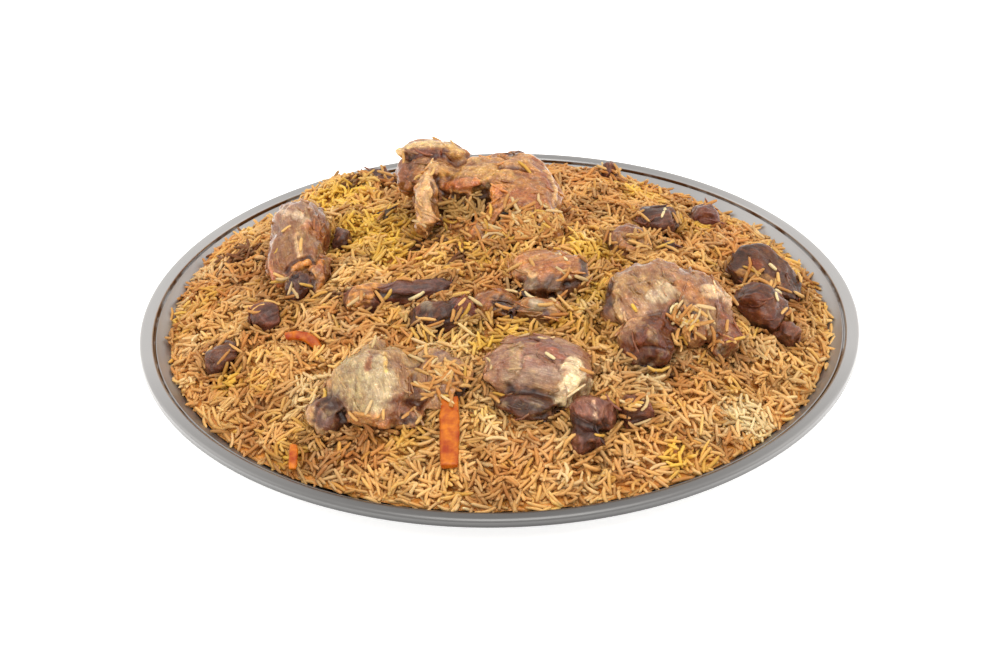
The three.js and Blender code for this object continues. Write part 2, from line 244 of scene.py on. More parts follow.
def spun_steel():
    """18/8 stainless steel, spun on a lathe and satin polished: fine rings round the tray soften
    its reflections, and cooking oil has dried brown in the groove."""
    material, tree = new_material("spun_stainless_steel")
    where = add_node(tree, "ShaderNodeTexCoord").outputs["Object"]
    level = add_node(
        tree, "ShaderNodeVectorMath", {"operation": "MULTIPLY"}, {0: where, 1: (1.0, 1.0, 0.0)}
    ).outputs[0]
    radius = add_node(
        tree, "ShaderNodeVectorMath", {"operation": "LENGTH"}, {0: level}
    ).outputs["Value"]
    # The rings are a quarter of a millimetre apart: real ones would be too fine to show.
    rings = add_node(
        tree,
        "ShaderNodeTexNoise",
        {"noise_dimensions": "1D"},
        {"W": radius, "Scale": 2500.0, "Detail": 3.0, "Roughness": 0.7},
    ).outputs["Fac"]
    smears = add_node(
        tree,
        "ShaderNodeTexNoise",
        inputs={"Vector": where, "Scale": 28.0, "Detail": 4.0, "Roughness": 0.6},
    ).outputs["Fac"]
    roughness = add_node(
        tree,
        "ShaderNodeMapRange",
        inputs={"Value": smears, "From Min": 0.3, "From Max": 0.75, "To Min": 0.42, "To Max": 0.56},
    ).outputs[0]
    # The rolled bead is polished smoother than the sheet.
    on_bead = add_node(
        tree,
        "ShaderNodeMath",
        {"operation": "GREATER_THAN"},
        {0: radius, 1: (GROOVE_RADIUS + 0.4) * MM},
    ).outputs[0]
    roughness = add_node(
        tree, "ShaderNodeMath", {"operation": "MULTIPLY_ADD"}, {0: on_bead, 1: -0.16, 2: roughness}
    ).outputs[0]
    parts = add_node(tree, "ShaderNodeSeparateXYZ", inputs={0: where}).outputs
    # Painted shade darkens the front and the back of the tray, standing in for the darker surroundings that they
    # reflect.
    back = add_node(
        tree, "ShaderNodeMath", {"operation": "SUBTRACT"}, {0: parts["Y"], 1: 30.0 * MM}
    ).outputs[0]
    off_middle = add_node(tree, "ShaderNodeMath", {"operation": "ABSOLUTE"}, {0: back}).outputs[0]
    front_back_shade = add_node(
        tree,
        "ShaderNodeMapRange",
        inputs={"Value": off_middle, "From Min": 0.08, "From Max": 0.24, "To Min": 1.0, "To Max": 0.3},
    ).outputs[0]
    # Painted shade: the bead is darker from its top down to its underside.
    painted_shade = add_node(
        tree,
        "ShaderNodeMapRange",
        inputs={
            "Value": parts["Z"],
            "From Min": (GROOVE_TOP - 1.8) * MM,
            "From Max": (GROOVE_TOP + 1.0) * MM,
            "To Min": 0.5,
            "To Max": 1.0,
        },
    ).outputs[0]
    shown = add_node(
        tree, "ShaderNodeMath", {"operation": "LESS_THAN"}, {0: on_bead, 1: 0.5}
    ).outputs[0]
    painted_shade = add_node(
        tree, "ShaderNodeMath", {"operation": "MAXIMUM"}, {0: painted_shade, 1: shown}
    ).outputs[0]
    from_groove = add_node(
        tree,
        "ShaderNodeMath",
        {"operation": "COMPARE"},
        {0: radius, 1: GROOVE_RADIUS * MM, 2: 0.7 * MM},
    ).outputs[0]
    patchy = add_node(
        tree,
        "ShaderNodeMapRange",
        inputs={"Value": smears, "From Min": 0.42, "From Max": 0.52, "To Min": 0.1, "To Max": 0.92},
    ).outputs[0]
    oily = add_node(
        tree, "ShaderNodeMath", {"operation": "MULTIPLY"}, {0: from_groove, 1: patchy}
    ).outputs[0]
    colour = add_node(
        tree,
        "ShaderNodeMix",
        {"data_type": "RGBA"},
        {MIX_FACTOR: oily, MIX_FIRST: linear("#BABABB"), MIX_SECOND: linear("#7A5428")},
    ).outputs[MIX_RESULT]
    # Both painted shades together darken the steel's colour.
    painted_shade = add_node(tree, "ShaderNodeMath", {"operation": "MULTIPLY"}, {0: painted_shade, 1: front_back_shade}).outputs[0]
    colour = add_node(
        tree, "ShaderNodeHueSaturation", inputs={"Value": painted_shade, "Color": colour}
    ).outputs[0]
    bump = add_node(
        tree,
        "ShaderNodeBump",
        inputs={"Height": rings, "Strength": 0.25, "Distance": 0.03 * MM},
    ).outputs[0]
    shader = add_node(
        tree,
        "ShaderNodeBsdfPrincipled",
        inputs={
            "Base Color": colour,
            "Metallic": 1.0,
            "Roughness": roughness,
            "Normal": bump,
        },
    )
    finish_material(tree, shader)
    return material


def cooked_rice():
    """Boiled basmati steamed in stock: starchy and a little see-through, with a coat of oil. The
    attribute pigment holds each grain's colour and that of its tips."""
    material, tree = new_material("steamed_basmati")
    pigment = add_node(
        tree, "ShaderNodeAttribute", {"attribute_name": "pigment"}
    ).outputs["Color"]
    where = add_node(tree, "ShaderNodeTexCoord").outputs["Object"]
    # Stock soaks unevenly into a grain, in stains two to three millimetres long.
    soaked = add_node(
        tree,
        "ShaderNodeTexNoise",
        inputs={"Vector": where, "Scale": 420.0, "Detail": 2.0, "Roughness": 0.55},
    ).outputs["Fac"]
    stain = add_node(
        tree,
        "ShaderNodeMapRange",
        inputs={"Value": soaked, "From Min": 0.3, "From Max": 0.7, "To Min": 0.92, "To Max": 1.08},
    ).outputs[0]
    colour = add_node(
        tree, "ShaderNodeHueSaturation", inputs={"Value": stain, "Color": pigment}
    ).outputs[0]
    shader = add_node(
        tree,
        "ShaderNodeBsdfPrincipled",
        inputs={
            "Base Color": colour,
            "Roughness": 0.56,
            "Specular IOR Level": 0.22,
            "Subsurface Weight": 0.15,
            "Subsurface Radius": (1.0, 0.55, 0.28),
            "Subsurface Scale": 1.2 * MM,
        },
    )
    finish_material(tree, shader)
    return material


def rice_bed_finish():
    """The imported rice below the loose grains: the same grains in the shade, soaked with oil."""
    material, tree = new_material("packed_rice_in_shade")
    where = add_node(tree, "ShaderNodeTexCoord").outputs["Object"]
    grains = add_node(
        tree,
        "ShaderNodeTexVoronoi",
        {"feature": "F1"},
        {"Vector": where, "Scale": 360.0, "Randomness": 1.0},
    )
    colour = add_node(
        tree,
        "ShaderNodeMix",
        {"data_type": "RGBA"},
        {
            MIX_FACTOR: grains.outputs["Distance"],
            MIX_FIRST: linear("#DE9C48"),
            MIX_SECOND: linear("#C87C2C"),
        },
    ).outputs[MIX_RESULT]
    bump = add_node(
        tree,
        "ShaderNodeBump",
        {"invert": True},
        {"Height": grains.outputs["Distance"], "Strength": 0.8, "Distance": 1.2 * MM},
    ).outputs[0]
    shader = add_node(
        tree,
        "ShaderNodeBsdfPrincipled",
        inputs={"Base Color": colour, "Roughness": 0.5, "Normal": bump, "Coat Weight": 0.2},
    )
    finish_material(tree, shader)
    return material


def braised_meat(name, roughness, fibre_depth, coat, fleck_and_glint_share):
    """Lamb braised until its fibres part, browned outside and glossy with its own fat. The
    attribute pigment holds the colour of each spot, and strand runs along the fibres."""
    material, tree = new_material(name)
    pigment = add_node(
        tree, "ShaderNodeAttribute", {"attribute_name": "pigment"}
    ).outputs["Color"]
    strand = add_node(
        tree, "ShaderNodeAttribute", {"attribute_name": "strand"}
    ).outputs["Vector"]
    where = add_node(tree, "ShaderNodeTexCoord").outputs["Object"]
    # Bundles of fibres are about 0.8 mm wide, and the strand coordinate is in millimetres.
    fibres = add_node(
        tree,
        "ShaderNodeTexNoise",
        inputs={"Vector": strand, "Scale": 1.25, "Detail": 4.0, "Roughness": 0.62},
    ).outputs["Fac"]
    mottled = add_node(
        tree,
        "ShaderNodeTexNoise",
        inputs={"Vector": where, "Scale": 240.0, "Detail": 5.0, "Roughness": 0.65},
    ).outputs["Fac"]
    fibre_light = add_node(
        tree,
        "ShaderNodeMapRange",
        inputs={"Value": fibres, "From Min": 0.3, "From Max": 0.72, "To Min": 0.66, "To Max": 1.28},
    ).outputs[0]
    mottle_light = add_node(
        tree,
        "ShaderNodeMapRange",
        inputs={"Value": mottled, "From Min": 0.3, "From Max": 0.7, "To Min": 0.7, "To Max": 1.28},
    ).outputs[0]
    light = add_node(
        tree, "ShaderNodeMath", {"operation": "MULTIPLY"}, {0: fibre_light, 1: mottle_light}
    ).outputs[0]
    warmer = add_node(
        tree,
        "ShaderNodeMapRange",
        inputs={"Value": mottled, "From Min": 0.3, "From Max": 0.7, "To Min": 0.488, "To Max": 0.51},
    ).outputs[0]
    colour = add_node(
        tree,
        "ShaderNodeHueSaturation",
        inputs={"Hue": warmer, "Saturation": 1.0, "Value": light, "Color": pigment},
    ).outputs[0]
    # Specks of fat and threads of tissue, about a millimetre across, dry out pale; the pale specks are also
    # painted highlights, the glints of the wet surface.
    specks = add_node(
        tree,
        "ShaderNodeTexNoise",
        inputs={"Vector": where, "Scale": 720.0, "Detail": 2.0, "Roughness": 0.6, "Distortion": 1.2},
    ).outputs["Fac"]
    fleck_and_glint = add_node(
        tree,
        "ShaderNodeMapRange",
        inputs={"Value": specks, "From Min": 0.56, "From Max": 0.7, "To Min": 0.0, "To Max": fleck_and_glint_share},
    ).outputs[0]
    pale = add_node(
        tree,
        "ShaderNodeHueSaturation",
        inputs={"Saturation": 0.7, "Value": 1.9, "Color": colour},
    ).outputs[0]
    colour = add_node(
        tree,
        "ShaderNodeMix",
        {"data_type": "RGBA"},
        {MIX_FACTOR: fleck_and_glint, MIX_FIRST: colour, MIX_SECOND: pale},
    ).outputs[MIX_RESULT]
    relief = add_node(
        tree, "ShaderNodeMath", {"operation": "ADD"}, {0: fibres, 1: mottled}
    ).outputs[0]
    bump = add_node(
        tree,
        "ShaderNodeBump",
        inputs={"Height": relief, "Strength": 0.9, "Distance": fibre_depth * MM},
    ).outputs[0]
    uneven = add_node(
        tree,
        "ShaderNodeMapRange",
        inputs={
            "Value": mottled,
            "From Min": 0.35,
            "From Max": 0.65,
            "To Min": roughness - 0.1,
            "To Max": roughness + 0.15,
        },
    ).outputs[0]
    shader = add_node(
        tree,
        "ShaderNodeBsdfPrincipled",
        inputs={
            "Base Color": colour,
            "Roughness": uneven,
            "Normal": bump,
            "Specular IOR Level": 0.25,
            "Subsurface Weight": 0.3,
            "Subsurface Radius": (1.0, 0.45, 0.25),
            "Subsurface Scale": 2.5 * MM,
            "Coat Weight": coat,
            "Coat Roughness": 0.12,
        },
    )
    finish_material(tree, shader)
    return material


def boiled_carrot():
    """Carrot cut in batons and simmered: deep orange, smooth and wet, with paler streaks."""
    material, tree = new_material("simmered_carrot")
    where = add_node(tree, "ShaderNodeTexCoord").outputs["Object"]
    streaks = add_node(
        tree,
        "ShaderNodeTexNoise",
        inputs={"Vector": where, "Scale": 160.0, "Detail": 4.0, "Roughness": 0.6},
    ).outputs["Fac"]
    paler = add_node(
        tree, "ShaderNodeMapRange", inputs={"Value": streaks, "From Min": 0.35, "From Max": 0.65}
    ).outputs[0]
    colour = add_node(
        tree,
        "ShaderNodeMix",
        {"data_type": "RGBA"},
        {MIX_FACTOR: paler, MIX_FIRST: linear("#9A3400"), MIX_SECOND: linear("#CC7212")},
    ).outputs[MIX_RESULT]
    bump = add_node(
        tree,
        "ShaderNodeBump",
        inputs={"Height": streaks, "Strength": 0.5, "Distance": 0.5 * MM},
    ).outputs[0]
    shader = add_node(
        tree,
        "ShaderNodeBsdfPrincipled",
        inputs={
            "Base Color": colour,
            "Roughness": 0.38,
            "Specular IOR Level": 0.3,
            "Normal": bump,
            "Subsurface Weight": 0.1,
            "Subsurface Radius": (1.0, 0.4, 0.1),
            "Subsurface Scale": 2.0 * MM,
            "Coat Weight": 0.08,
            "Coat Roughness": 0.15,
        },
    )
    finish_material(tree, shader)
    return material


def tray_outline():
    """Radius and height along the sheet's upper side, from the flat base to the bead's end."""
    slope = (GROOVE_TOP - SHEET) / (GROOVE_RADIUS - WALL_FOOT_RADIUS)
    outline = [(WALL_FOOT_RADIUS - 2.0, SHEET + 0.1), (WALL_FOOT_RADIUS, SHEET + 0.5)]
    outline.append((WALL_FOOT_RADIUS + 2.0, SHEET + 2.0 * slope + 0.3))
    rise = GROOVE_RADIUS - GROOVE_WIDTH - WALL_FOOT_RADIUS - 2.0
    for share in (0.25, 0.5, 0.75, 0.93):
        radius = WALL_FOOT_RADIUS + 2.0 + rise * share
        outline.append((radius, SHEET + (radius - WALL_FOOT_RADIUS) * slope))
    lip = GROOVE_RADIUS - GROOVE_WIDTH
    outline.append((lip, GROOVE_TOP - 0.5))
    outline.append((lip + 0.4, GROOVE_TOP - 0.08))
    outline.append((lip + 0.9, GROOVE_TOP - 0.2))
    outline.append((GROOVE_RADIUS - 0.2, GROOVE_TOP - GROOVE_DEPTH))
    outline.append((GROOVE_RADIUS + 0.3, GROOVE_TOP - GROOVE_DEPTH))
    for degrees in range(168, -141, -14):
        turn = math.radians(degrees)
        across, rise = (
            half * math.copysign(abs(part) ** BEAD_FLATNESS, part)
            for half, part in zip(BEAD_HALF, (math.cos(turn), math.sin(turn)))
        )
        outline.append((TRAY_RADIUS - BEAD_HALF[0] + across, GROOVE_TOP - BEAD_DROP + rise))
    return outline


def serving_tray():
    """Spins the tray up from a flat disc, ring by ring, and gives the sheet its thickness."""
    only(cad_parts["tray"])
    bpy.ops.object.select_all(action="DESELECT")
    bpy.ops.mesh.primitive_circle_add(
        vertices=TRAY_SIDES, radius=BASE_RADIUS * MM, fill_type="NGON", location=(0, 0, SHEET * MM)
    )
    tray = bpy.context.object
    tray.name = "serving_tray"
    bpy.ops.object.transform_apply(location=True, rotation=True, scale=True)
    bpy.ops.object.mode_set(mode="EDIT")
    bpy.ops.mesh.select_mode(type="EDGE")
    bpy.ops.mesh.select_all(action="SELECT")
    bpy.ops.mesh.region_to_loop()
    radius, height = BASE_RADIUS, SHEET
    for next_radius, next_height in tray_outline():
        grow = next_radius / radius
        bpy.ops.mesh.extrude_edges_move()
        bpy.ops.transform.resize(value=(grow, grow, 1.0), center_override=(0.0, 0.0, 0.0))
        bpy.ops.transform.translate(value=(0.0, 0.0, (next_height - height) * MM))
        radius, height = next_radius, next_height
    bpy.ops.mesh.select_all(action="SELECT")
    bpy.ops.mesh.normals_make_consistent(inside=False)
    bpy.ops.object.mode_set(mode="OBJECT")
    upwards = tray.data.polygons[0].normal.z > 0
    shaped_by(tray, "SOLIDIFY", thickness=SHEET * MM, offset=-1.0 if upwards else 1.0)
    settle(tray, spun_steel(), "steel", "tray")
    tray.data.set_sharp_from_angle(angle=math.radians(50))
    return tray


def heap_height(x, y):
    """Height of the heap's outer surface over a place in the plan."""
    height = HEAP_EDGE + HEAP_CROWN * (1 - (x * x + y * y) / HEAP_RADIUS**2)
    for centre_x, centre_y, radius, rise in HEAP_MOUNDS:
        away = (x - centre_x) ** 2 + (y - centre_y) ** 2
        height = height + rise * np.exp(-away / radius**2)
    return height


def unevenness(points):
    """How far the heap stands over its smooth form: hollows and humps left by the spoon."""
    rim = 1 - ease(np.hypot(points[:, 0], points[:, 1]), 172, 188)
    return (2.8 * noise(points, 23.0, 12) + 2.3 * noise(points, 10.0, 13)) * (0.2 + 0.8 * rim)


def rice_bed():
    """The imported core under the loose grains: a closed dome with grain-sized relief."""
    bpy.ops.object.select_all(action="DESELECT")
    bpy.ops.mesh.primitive_uv_sphere_add(segments=220, ring_count=160, radius=1.0)
    bed = bpy.context.object
    bed.name = "packed_rice"
    ball = places(bed) * MM
    polar = np.arccos(np.clip(ball[:, 2], -1, 1)) / (math.pi / 2)
    turn = np.arctan2(ball[:, 1], ball[:, 0])
    radius = BED_RADIUS * np.where(polar < 1, polar, 1)
    below = np.clip(polar - 1, 0, 1)
    radius = np.where(below > 0, BED_RADIUS - (BED_RADIUS - BED_FOOT_RADIUS) * np.clip(below * 8, 0, 1), radius)
    radius = np.where(below > 0.125, BED_FOOT_RADIUS * (1 - (below - 0.125) / 0.875), radius)
    points = np.stack([radius * np.cos(turn), radius * np.sin(turn), np.zeros(len(turn))], 1)
    drop = BED_DROP + (EDGE_DROP - BED_DROP) * ease(radius, 178, BED_RADIUS)
    top = heap_height(points[:, 0], points[:, 1]) - drop
    top += 0.9 * noise(points, 3.2, 11) + unevenness(points)
    edge = heap_height(BED_RADIUS, 0.0) - EDGE_DROP
    low = edge - (edge - BED_FLOOR) * np.clip(below * 8, 0, 1)
    points[:, 2] = np.where(below > 0, low, top)
    place(bed, points)
    return settle(bed, rice_bed_finish(), "rice", "rice")


class Lump:
    """A piece of meat: its solid's mesh made fine and smooth, then worked and painted."""

    VOXEL = 0.95

    def __init__(self, node, pigment, along=(1.0, 0.0, 0.0), voxel=VOXEL):
        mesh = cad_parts[node].data.copy()
        self.node = node
        self.piece = bpy.data.objects.new("braised_" + node, mesh)
        bpy.context.scene.collection.objects.link(self.piece)
        only(self.piece)
        bpy.ops.object.mode_set(mode="EDIT")
        bpy.ops.mesh.select_all(action="SELECT")
        bpy.ops.mesh.remove_doubles(threshold=0.001 * MM)
        bpy.ops.object.mode_set(mode="OBJECT")
        shaped_by(self.piece, "REMESH", mode="VOXEL", voxel_size=voxel * MM)
        shaped_by(self.piece, "SMOOTH", factor=0.5, iterations=10)
        self.points = places(self.piece)
        self.normals = outward(self.piece)
        self.pigment = np.tile(linear(pigment), (len(self.points), 1))
        first = Vector(along).normalized()
        second = first.cross(Vector((0.1, 0.3, 1.0))).normalized()
        self.axes = np.array([first, second, first.cross(second)])
        self.strand = self.points @ self.axes.T
        self.faces = [tuple(face.vertices) for face in self.piece.data.polygons]
        self.edges = np.array([tuple(edge.vertices) for edge in self.piece.data.edges])
        self.look_up()

    def look_up(self):
        """Reads the shape again after it was moved."""
        self.tree = BVHTree.FromPolygons([Vector(p) for p in self.points], self.faces)

    def push(self, distance):
        """Moves each vertex along its normal."""
        self.points = self.points + self.normals * np.asarray(distance)[:, None]
        place(self.piece, self.points)
        self.normals = outward(self.piece)

    def spread(self, values, rounds):
        """Evens out values between neighbouring vertices, some rounds over."""
        first, second = self.edges.T
        count = np.bincount(self.edges.ravel(), minlength=len(values))[:, None]
        for _ in range(rounds):
            total = np.zeros(values.shape)
            np.add.at(total, first, values[second])
            np.add.at(total, second, values[first])
            values = total / count
        return values

    def swell(self, length, height, seed):
        """Soft lumps of one size."""
        self.push(height * noise(self.points, length, seed))

    def chop(self, cuts, seed, least=0.72, most=0.86):
        """Flattens the piece where it stands out, as a knife leaves a chunk of meat. The ends of
        a long piece are left as they are."""
        draw = np.random.default_rng(seed)
        sides = np.ptp(self.points @ self.axes.T, axis=0)
        cuts_across = sides[0] > 1.5 * sides[1:].max()
        middle = (self.points.max(0) + self.points.min(0)) / 2
        for _ in range(cuts):
            way = draw.normal(0, 1, 3) * (1, 1, 0.6)
            if cuts_across:
                way -= self.axes[0] * (way @ self.axes[0])
            way /= np.linalg.norm(way)
            reach = (self.points - middle) @ way
            over = np.maximum(reach - reach.max() * draw.uniform(least, most), 0)
            self.points = self.points - 0.9 * over[:, None] * way
        place(self.piece, self.points)
        self.normals = outward(self.piece)

    def fibres(self, width, length, height, seed):
        """Strands and grooves that run along the grain of the meat."""
        drawn = self.strand * np.array([width / length, 1.0, 1.0])
        wander = 0.25 * width * noise(self.points, 6 * width, seed + 1)[:, None]
        strands = noise(drawn + wander, width, seed)
        self.push(height * (1.2 * np.abs(strands) ** 0.7 * np.sign(strands) - 0.1))

    def paint_shade_and_highlight(self, rounds, depth, strength):
        """Paints shade into what lies in creases and a highlight on what stands out."""
        hollow = ((self.spread(self.points, rounds) - self.points) * self.normals).sum(1)
        self.tint(ease(hollow, 0.0, depth) * strength, CREASE_SHADE)
        self.tint(ease(-hollow, 0.1 * depth, depth) * strength, RIDGE_HIGHLIGHT)

    def tint(self, mask, rates):
        """Multiplies the colour where a mask is set."""
        self.pigment[:, :3] *= 1 + mask[:, None] * (np.array(rates) - 1)

    def folds(self, length, depth, seed):
        """Thin valleys between soft folds of fat or skin."""
        bent = self.points + length * 0.4 * noise(self.points, length * 1.7, seed + 3)[:, None]
        valley = 1 - ease(np.abs(noise(bent, length, seed)), 0.0, 0.16)
        valley = valley * ease(noise(self.points, 2 * length, seed + 4), -0.3, 0.3)
        self.push(-depth * valley)

    def shade(self, mask, pigment, strength):
        """Tints the meat where a mask is set."""
        share = np.clip(mask * strength, 0, 1)[:, None]
        self.pigment = self.pigment * (1 - share) + np.array(linear(pigment)) * share

    def blotches(self, length, pigment, share, strength, seed, drawn=1.0):
        """Uneven patches of another colour over the whole piece."""
        stretched = self.strand * np.array([1 / drawn, 1.0, 1.0])
        field = 0.65 * noise(stretched, length, seed) + 0.35 * noise(stretched, length * 0.4, seed + 1)
        limit = 0.6 - share
        self.shade(ease(field, limit - 0.12, limit + 0.12), pigment, strength)

    def spot(self, across, down):
        """Where the camera's ray through a point of the photograph meets this piece."""
        ray = CAMERA_FORWARD + CAMERA_RIGHT * ((across - PHOTO_WIDTH / 2) / FOCAL_PIXELS)
        ray = (ray - CAMERA_UP * ((down - PHOTO_HEIGHT / 2) / FOCAL_PIXELS)).normalized()
        met = self.tree.ray_cast(CAMERA_PLACE, ray)[0]
        if met is None:
            middle = Vector(self.points.mean(0))
            near = CAMERA_PLACE + ray * (middle - CAMERA_PLACE).dot(ray)
            met = self.tree.find_nearest(near)[0]
        return np.array(met)

    def stroke(self, path, width, lift=0.0, pigment=None, cover=1.0, ragged=0.45):
        """Raises or sinks a band along a path of photo points, and paints it."""
        ends = [self.spot(*point) for point in path]
        if len(ends) == 1:
            ends.append(ends[0] + 0.01)
        away = np.full(len(self.points), 1e9)
        for start, end in zip(ends, ends[1:]):
            step = end - start
            share = np.clip((self.points - start) @ step / (step @ step), 0, 1)
            away = np.minimum(away, np.linalg.norm(self.points - start - share[:, None] * step, axis=1))
        torn = 0.65 * noise(self.points, max(2.0, width * 0.6), 31) + 0.5 * noise(self.points, 2.2, 32)
        away = away + ragged * width * torn
        mask = 1 - ease(away, 0.35 * width, width)
        if pigment:
            self.shade(1 - ease(away, 0.56 * width, 1.08 * width), pigment, cover)
        if lift:
            self.push(lift * mask)

    def serve(self, material, slot):
        """Writes the shape and its colours and sets the piece in place of its node."""
        high = np.maximum(self.points[:, 2] - SOFT_TOP, 0)
        self.points[:, 2] -= high - (MOST_HEIGHT - SOFT_TOP) * np.tanh(high / (MOST_HEIGHT - SOFT_TOP))
        place(self.piece, self.points)
        self.pigment[:, :3] *= BROTH_STAIN
        keep_attribute(self.piece, "pigment", "FLOAT_COLOR", self.pigment)
        drawn = self.strand * np.array([0.09, 1.0, 1.0])
        keep_attribute(self.piece, "strand", "FLOAT_VECTOR", drawn)
        self.look_up()
        settle(self.piece, material, slot, self.node)


# Colours of cooked lamb, from its fat to its rind, and the painted shade put into its pits, creases, hollows and
# feet.
GOLD, PALE_GOLD, TAN, AMBER = "#C88E52", "#D8AE70", "#B07C4C", "#B06C2C"
CREAM, WHITE_FAT, SKIN, ORANGE = "#DCC59A", "#C8BDA8", "#B89F92", "#C87C3C"
LEAN, LEAN_DARK, MAUVE, PURPLE, RUST = "#643A2E", "#3C211A", "#94665A", "#6E494A", "#85482F"
RIND, CREVICE_SHADE, GRISTLE, HOLLOW_SHADE = "#5C3820", "#43281A", "#8C7F78", "#4A2C1A"

# Painted shade in a deep crease and a painted highlight on a sharp ridge: what they leave of red, green and blue.
CREASE_SHADE, RIDGE_HIGHLIGHT = (0.5, 0.36, 0.25), (1.3, 1.3, 1.32)
# Broth stains all of the meat: what it leaves of red, green and blue.
BROTH_STAIN = (0.80, 0.68, 0.47)

# Strokes that work a piece: what it makes, its path in photo pixels, its width and its rise in
# millimetres, its colour and how well that covers.
JOINT_STROKES = (
    ("skin over the cap", ((402, 149), (425, 142), (450, 142), (474, 152)), 5.5, 0.8, CREAM, 0.8),
    ("golden back of the cap", ((462, 146), (478, 156)), 7, 0.0, PALE_GOLD, 0.7),
    ("red meat under the skin", ((410, 154), (428, 150), (444, 153)), 6, -1.2, "#7C4136", 0.85),
    ("tissue under the cap", ((400, 168), (416, 164), (432, 160)), 6, 0.8, "#8E6240", 0.9),
    # Painted shade on the side below the cap.
    ("dark side of the joint", ((404, 176), (398, 182)), 5, 0.0, "#5A3626", 0.9),
    ("maroon side of the joint", ((402, 166), (408, 176), (410, 188)), 6, 0.0, "#6A4230", 0.9),
    # Painted shade along the cap's edge.
    ("dark edge of the cap", ((398, 158), (394, 172)), 6, 0.0, "#4E3029", 0.95),
    ("filled side of the joint", ((404, 170), (406, 184)), 8, 2.4, "#7C4E30", 0.9),
    ("lower filled side", ((408, 178), (406, 190)), 7, 2.0, "#8A5A34", 0.85),
    # Painted shade in the hole.
    ("hole beside the pillar", ((401, 185), (408, 181)), 2.6, -1.5, CREVICE_SHADE, 0.9),
    ("brown side under the hole", ((404, 195), (412, 206)), 7, 0.0, "#86562C", 0.8),
    ("pillar of tissue", ((434, 168), (424, 185), (424, 208), (430, 234)), 6, 0.8, "#D2B084", 0.85),
    ("light edge of the pillar", ((420, 180), (418, 200)), 2.2, 0.5, CREAM, 0.8),
    ("foot of the pillar in the rice", ((429, 233), (432, 243)), 7, -3.0, "#A87A44", 0.6),
    ("brown right side of the pillar", ((432, 186), (434, 212), (436, 232)), 2.6, -0.5, "#7E5428", 0.85),
    ("brown left side of the pillar", ((414, 196), (416, 222)), 2.4, -0.4, "#8E6636", 0.8),
    ("shade right of the pillar", ((437, 178), (443, 196)), 4.5, -2.0, "#6E4018", 0.8),
    ("ledge over the hollow", ((444, 187), (458, 184), (474, 183)), 4, 1.8, "#B06C42", 0.85),
    # Painted shade under the ledge.
    ("dark lip of the ledge", ((452, 194), (468, 197)), 2.5, -1.5, CREVICE_SHADE, 0.9),
    # Painted shade on the rice in the hollow, deeper at its end.
    ("hollow with rice in it", ((452, 207), (468, 212), (482, 202)), 9, -4.0, "#7A5C28", 0.9),
    ("deep end of the hollow", ((484, 190), (488, 184)), 4, -2.5, "#4A3A24", 0.8),
    ("band right of the hollow", ((497, 190), (488, 212), (478, 228)), 5, 1.2, "#CB8C4C", 0.8),
    ("golden top", ((446, 166), (470, 172), (500, 170)), 8, 0.6, PALE_GOLD, 0.75),
    ("crest of the top", ((470, 158), (500, 158), (530, 158)), 6, 0.0, "#C4925C", 0.7),
    ("orange flank", ((505, 198), (525, 196), (540, 205)), 9, 0.0, "#C47B44", 0.6),
    # Painted shade in the crease.
    ("crease from the top", ((500, 166), (520, 168), (545, 178)), 2, -0.8, "#8A5226", 0.5),
    ("reddish corner", ((537, 163), (545, 178), (550, 186)), 5, -0.4, "#A05A3C", 0.8),
    ("light strip at the right edge", ((546, 172), (554, 186), (555, 206)), 2.6, 0.9, "#DDB889", 0.8),
    # Painted shade in the crease.
    ("arched crease", ((497, 226), (500, 217), (507, 210), (516, 211)), 2.4, -2.6, CREVICE_SHADE, 1.0),
    ("grey end of the flank", ((480, 228), (492, 232)), 4, 0.0, GRISTLE, 0.5),
    ("scrap on the crest", ((512, 153), (523, 152)), 5, 0.0, "#4A2A1C", 0.9),
    # Painted shade at the foot in the rice.
    ("dark foot", ((420, 246), (436, 250)), 5, -1.0, "#7A4A20", 0.6),
    ("yellow foot", ((436, 238), (456, 236)), 6, 0.0, "#CFA032", 0.6),
)
SHANK_STROKES = (
    ("smooth top", ((520, 262), (545, 258), (572, 262)), 9, 0.6, "#BD8450", 0.7),
    ("orange middle", ((536, 268), (556, 270)), 6, 0.0, "#B8723E", 0.6),
    ("rind at the right end", ((583, 262), (585, 272), (578, 282)), 3.6, -0.6, "#3E2418", 0.9),
    # Painted shade on the underside.
    ("dark underside", ((520, 288), (545, 292), (570, 288)), 7, -0.4, "#5E3A24", 0.9),
    ("round end of the bone", ((553, 283),), 6.5, 0.6, "#6A5348", 0.95),
    # Painted shade in the pit.
    ("pit beside the bone", ((568, 284),), 3, -1.5, CREVICE_SHADE, 0.8),
    ("knob", ((532, 283),), 5.5, 0.8, "#8C7B6C", 0.9),
    ("pale rim over the knob", ((524, 272), (534, 275)), 2.5, 0.5, "#E0BC90", 0.7),
    # Painted shade in the gap below and at the foot.
    ("gap below", ((516, 294), (530, 298), (552, 298)), 4, -2.0, HOLLOW_SHADE, 1.0),
    ("dark foot", ((560, 292), (572, 290)), 4, 0.0, "#5E371C", 0.8),
)
SINEW_STROKES = (
    ("amber jelly", ((486, 284), (500, 292)), 8, 0.6, "#8E5828", 0.9),
    # Painted shade in the hollow.
    ("dark hollow", ((500, 302), (512, 312)), 6, -1.6, "#4A2A14", 0.9),
    ("pale knob", ((537, 306),), 5, 0.8, "#A8A29A", 0.9),
    ("red bit", ((543, 317),), 4.5, 0.4, "#5E2B1E", 0.9),
    ("golden sheet", ((555, 300), (560, 316)), 6, 0.4, "#9C6C38", 0.8),
    ("brown edge", ((520, 322), (530, 326)), 5, 0.0, "#74492A", 0.85),
)
